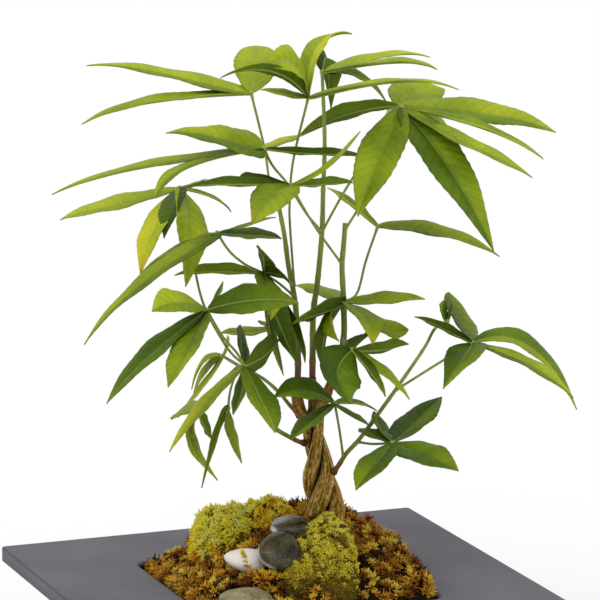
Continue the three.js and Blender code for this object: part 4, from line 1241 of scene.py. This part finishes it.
def lobe_moss(shape, rng, look, row, lobe, others):
    """One lobe's bed with the tufts over its top, and darker ones down its steep sides."""
    ring, share_of, top_of = lobe
    at, light = row[0], row[-1]

    def bed(x, y, share):
        return crumbly(CLUMP, top_of(x, y, min(share, 0.999)), x, y)

    heap(shape, 26, 80, ring, bed, MOUND["bottom"] + 2)
    x, y = scattered(rng, 84, look["spacing"])
    x, y = only(share_of(x, y) < TUFTS_REACH, x, y)
    z = top_of(x, y, share_of(x, y))
    lumps = patches(x, y, 6, 21)
    keep = open_ground(x, y, z) & (z > mound_height(x, y) - 1) & (lumps > look["sparse"])
    x, y, z, lumps = only(keep, x, y, z, lumps)
    normals = slopes(lambda a, b: top_of(a, b, np.minimum(share_of(a, b), 0.97)), x, y)
    lumpy, patchy, mixed = CLUMP["tones"]
    pick = light + lumpy * lumps + patchy * patches(x, y, 20, 23) + rng.normal(0, mixed, len(x))
    bases = np.stack([x, y, z - look["sunk"] + look["uneven"] * lumps], axis=1)
    tufts(shape, rng, look, bases, normals, palette(look, pick))

    # The steep sides, darker towards the foot.
    angle = rng.uniform(0, 2 * math.pi, look["sides"])
    up = rng.uniform(0, 0.92, look["sides"])
    share = np.minimum((1 - up**2) ** (1 / CLUMP["fall"]), 0.985)
    x, y = ring(share, angle)
    foot = mound_height(x, y) - 1
    z = foot + (top_of(x, y, share) - foot) * np.minimum(1, 4.5 * up)
    x, y, z, up = only(open_ground(x, y, z, others) & (z > foot), x, y, z, up)
    cx, cy = to_pot(*at)
    normals = unit(np.stack([x - cx, y - cy, 6 + 16 * up], axis=1))
    bases = np.stack([x, y, z], axis=1) - normals * 1.6
    foot_tone, gain, mixed = CLUMP["side_tones"]
    pick = light + foot_tone + gain * up + rng.normal(0, mixed, len(x))
    tufts(shape, rng, look, bases, normals, palette(look, pick))


def ground(mound_bed, clump_beds, thread):
    """The brown moss and the two clumps on it, each on a bed of its own colour."""
    rng = np.random.default_rng(4)
    lobes = {name: [lobe_place(row) for row in rows] for name, rows in CLUMPS.items()}
    every = [lobe for group in lobes.values() for lobe in group]
    brown_moss([mound_bed, thread], rng, every)
    for bed, (name, group) in zip(clump_beds, lobes.items()):
        shape = Shape("tint")
        for row, lobe in zip(CLUMPS[name], group):
            others = [other for other in every if other is not lobe]
            lobe_moss(shape, rng, MOSS[name], row, lobe, others)
        piece(f"{name}_fine", shape, [bed, thread], name)


def pebble(name, material):
    """A smooth pebble with the solid's bumps and finer ones."""
    at, half, tilt, seed = STONES[name]
    random = draws(seed)
    phase = [next(random) * 6 for _ in range(3)]
    long, wide, high = STONE_BUMPS
    start, full = GLEAM_EDGE
    tx, ty, tz = (math.radians(a) for a in tilt)
    seen = Matrix.Rotation(FRONT_TURN, 3, "Z")
    turns = seen @ Matrix.Rotation(tz, 3, "Z") @ Matrix.Rotation(ty, 3, "Y") @ Matrix.Rotation(tx, 3, "X")
    cx, cy = to_pot(at[0], at[1])
    rows, around = 36, 64
    shape = Shape("painted_gleam")
    points, gleams = [], []
    for i in range(rows + 1):
        lift = math.pi * (max(min(i, rows - 0.02), 0.02) / rows - 0.5)
        for j in range(around):
            turn = 2 * math.pi * j / around
            p = Vector((math.cos(lift) * math.cos(turn), math.cos(lift) * math.sin(turn), math.sin(lift)))
            size = (
                1
                + long * math.sin(2.3 * p.x + phase[0])
                + wide * math.sin(2.9 * p.y + phase[1])
                + high * math.sin(3.1 * p.z + 2 * p.x + phase[2])
                + 0.02 * noise.noise(p * 2.4 + Vector((seed, 0, 0)))
            )
            place = turns @ (Vector((p.x * half[0], p.y * half[1], p.z * half[2])) * size)
            points.append((place.x + cx, place.y + cy, place.z + at[2]))
            facing = turns @ Vector((p.x / half[0], p.y / half[1], p.z / half[2])).normalized()
            # Painted highlights where the skin faces a gleam's way.
            painted_gleam = 0.0
            for way, strength in PAINTED_GLEAMS.get(name, []):
                toward = seen @ Vector(way).normalized()
                share = (facing.dot(toward) - start) / (full - start)
                painted_gleam = max(painted_gleam, strength * min(1, max(0, share)))
            gleams.append(painted_gleam)
    shape.add(points, skin_faces(rows + 1, around), painted_gleam=gleams)
    piece(f"{name}_smooth", shape, [material], name)


# ---- Pot ----------------------------------------------------------------------------------------


def outline(side, corner, steps=10, along=24):
    """A square with round corners, as points all the way round."""
    half = side / 2
    points = []
    for quarter in range(4):
        local = [(half, y) for y in np.linspace(-half + corner, half - corner, along)]
        arc = np.linspace(0, math.pi / 2, steps + 1)[1:-1]
        local += [(half - corner + corner * math.cos(a), half - corner + corner * math.sin(a)) for a in arc]
        points += [spun(x, y, quarter * math.pi / 2) for x, y in local]
    return points


def pot(material):
    """The slab rim with soft edges, the tapered body under it and the cavity, as one skin."""
    e, lip = POT["edge"], POT["lip"]
    under = -POT["rim_thickness"]
    rim, mouth = POT["rim_side"], POT["opening"]
    corner, soft = POT["rim_corner"], POT["opening_corner"]
    # Each level's height, side, corner radius and how dark its skin is: darker along the edges, with
    # painted shade where the body meets the underside of the rim and near-black painted shade down the
    # inner wall.
    levels = [
        (-RIM, POT["body_base"] - 3, POT["body_corner"], 0.0),
        (-RIM + 0.5, POT["body_base"] - 0.9, POT["body_corner"], 0.3),
        (-RIM + 1.6, POT["body_base"] + 0.4, POT["body_corner"], 0.0),
        (under - 30, POT["body_top"] - 16, POT["body_corner"], 0.0),
        (under, POT["body_top"], POT["body_corner"], 0.6),
        (under, rim - 2 * e, corner, 0.0),
        (under + e, rim, corner, 0.9),
        (-2.2, rim, corner, 0.15),
        (-0.8, rim - 0.2, corner, 1.0),
        (-0.25, rim - 0.7, corner, 0.8),
        (0, rim - 2.0, corner, 0.15),
        (0, rim - 5, corner, 0.0),
    ]
    for k in range(9):
        level = (rim - 5) + (mouth + 2 * lip - rim + 5) * (k + 1) / 9
        levels.append((0, level, corner + (soft + lip - corner) * (k + 1) / 9, 0.0))
    for k in range(1, 6):
        a = k / 5 * math.pi / 2
        drop = lip * (1 - math.cos(a))
        inset = lip * math.sin(a)
        levels.append((-drop, mouth + 2 * (lip - inset), soft + lip - inset, 0.1 * k))
    # The inner wall: near-black painted shade.
    levels.append((-lip - 0.4, mouth, soft, POT["inside_painted_shade"]))
    levels.append((under, mouth, soft, POT["inside_painted_shade"]))
    levels.append((POT["floor"] - RIM, POT["cavity_base"], soft, POT["inside_painted_shade"]))
    shape = Shape("edge")
    points, edge_and_painted_shade = [], []
    for z, side, radius, edge in levels:
        ring = outline(side, radius)
        points += [(x, y, z) for x, y in ring]
        edge_and_painted_shade += [edge] * len(ring)
    shape.add(points, skin_faces(len(levels), len(points) // len(levels)), edge=edge_and_painted_shade)
    made = piece("slate_planter", shape, [material], "pot")
    made.data.set_sharp_from_angle(angle=math.radians(50))


# ---- Everything ---------------------------------------------------------------------------------

leafy = [leaf_material("leaf_face", False), leaf_material("leaf_back", True), stem_material()]
for name in SHOOTS:
    shoot(name, leafy)
bark = bark_material()
for name in ARMS:
    trunk_strand(name, bark)

beds = [
    # The brown moss's bed: soil, made near black as painted shade in the gaps between tufts.
    earth_material("moss_bed_earth_and_shade", (10, 4, 1), (54, 28, 8)),
    earth_material("yellow_moss_bed", (64, 44, 8), (150, 118, 26)),
    earth_material("green_moss_bed", (58, 46, 10), (130, 114, 28)),
]
ground(beds[0], beds[1:], moss_material())
slate = stone_material("dark_pebble", (24, 23, 14), (84, 78, 48), (124, 116, 84), 0.2)
white = stone_material("white_pebble", (238, 230, 218), (254, 251, 246), (212, 202, 184), 0.4)
brown = stone_material("brown_pebble", (100, 90, 60), (162, 150, 108), (200, 192, 160), 0.3)
pebble("stone_dark_back", slate)
pebble("stone_dark_front", slate)
pebble("stone_white", white)
pebble("stone_brown", brown)
pot(slate_material())
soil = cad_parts["soil"].data.materials
soil.clear()
soil.append(earth_material("potting_soil", (12, 8, 5), (44, 30, 20)))

# ---- Floor, light and camera --------------------------------------------------------------------


def aimed(name, data, way, axis):
    """A light or camera in the scene, with one of its axes turned a given way."""
    made = bpy.data.objects.new(name, data)
    made.rotation_mode = "QUATERNION"
    made.rotation_quaternion = Vector(way).to_track_quat(axis, "Y")
    bpy.context.scene.collection.objects.link(made)
    return made


def stage():
    paint = Paint("pale_floor")
    mesh = bpy.data.meshes.new("floor")
    corners = [(-1, -1), (1, -1), (1, 1), (-1, 1)]
    mesh.from_pydata([(x * FLOOR_REACH, y * FLOOR_REACH, 0) for x, y in corners], [], [(0, 1, 2, 3)])
    mesh.materials.append(paint.finish((254, 254, 254), 0.9, specular=0.1))
    floor = bpy.data.objects.new("floor", mesh)
    floor.location.z = -0.0005  # just under the pot's base
    bpy.context.scene.collection.objects.link(floor)

    world = bpy.data.worlds.new("soft_light")
    world.use_nodes = True
    world.node_tree.nodes["Background"].inputs["Color"].default_value = (1, 1, 1, 1)
    world.node_tree.nodes["Background"].inputs["Strength"].default_value = SKY_LIGHT
    bpy.context.scene.world = world

    for name, (way, width, strength) in LIGHTS.items():
        light = bpy.data.lights.new(name, "SUN")
        light.angle = math.radians(width)
        light.energy = strength
        aimed(name, light, way, "Z")

    camera = bpy.data.cameras.new("camera")
    camera.lens = CAMERA["lens"]
    camera.clip_end = 100
    viewer = aimed("camera", camera, CAMERA["towards"], "-Z")
    viewer.location = CAMERA["place"]
    bpy.context.scene.camera = viewer
    bpy.context.scene.view_settings.view_transform = "Standard"


stage()
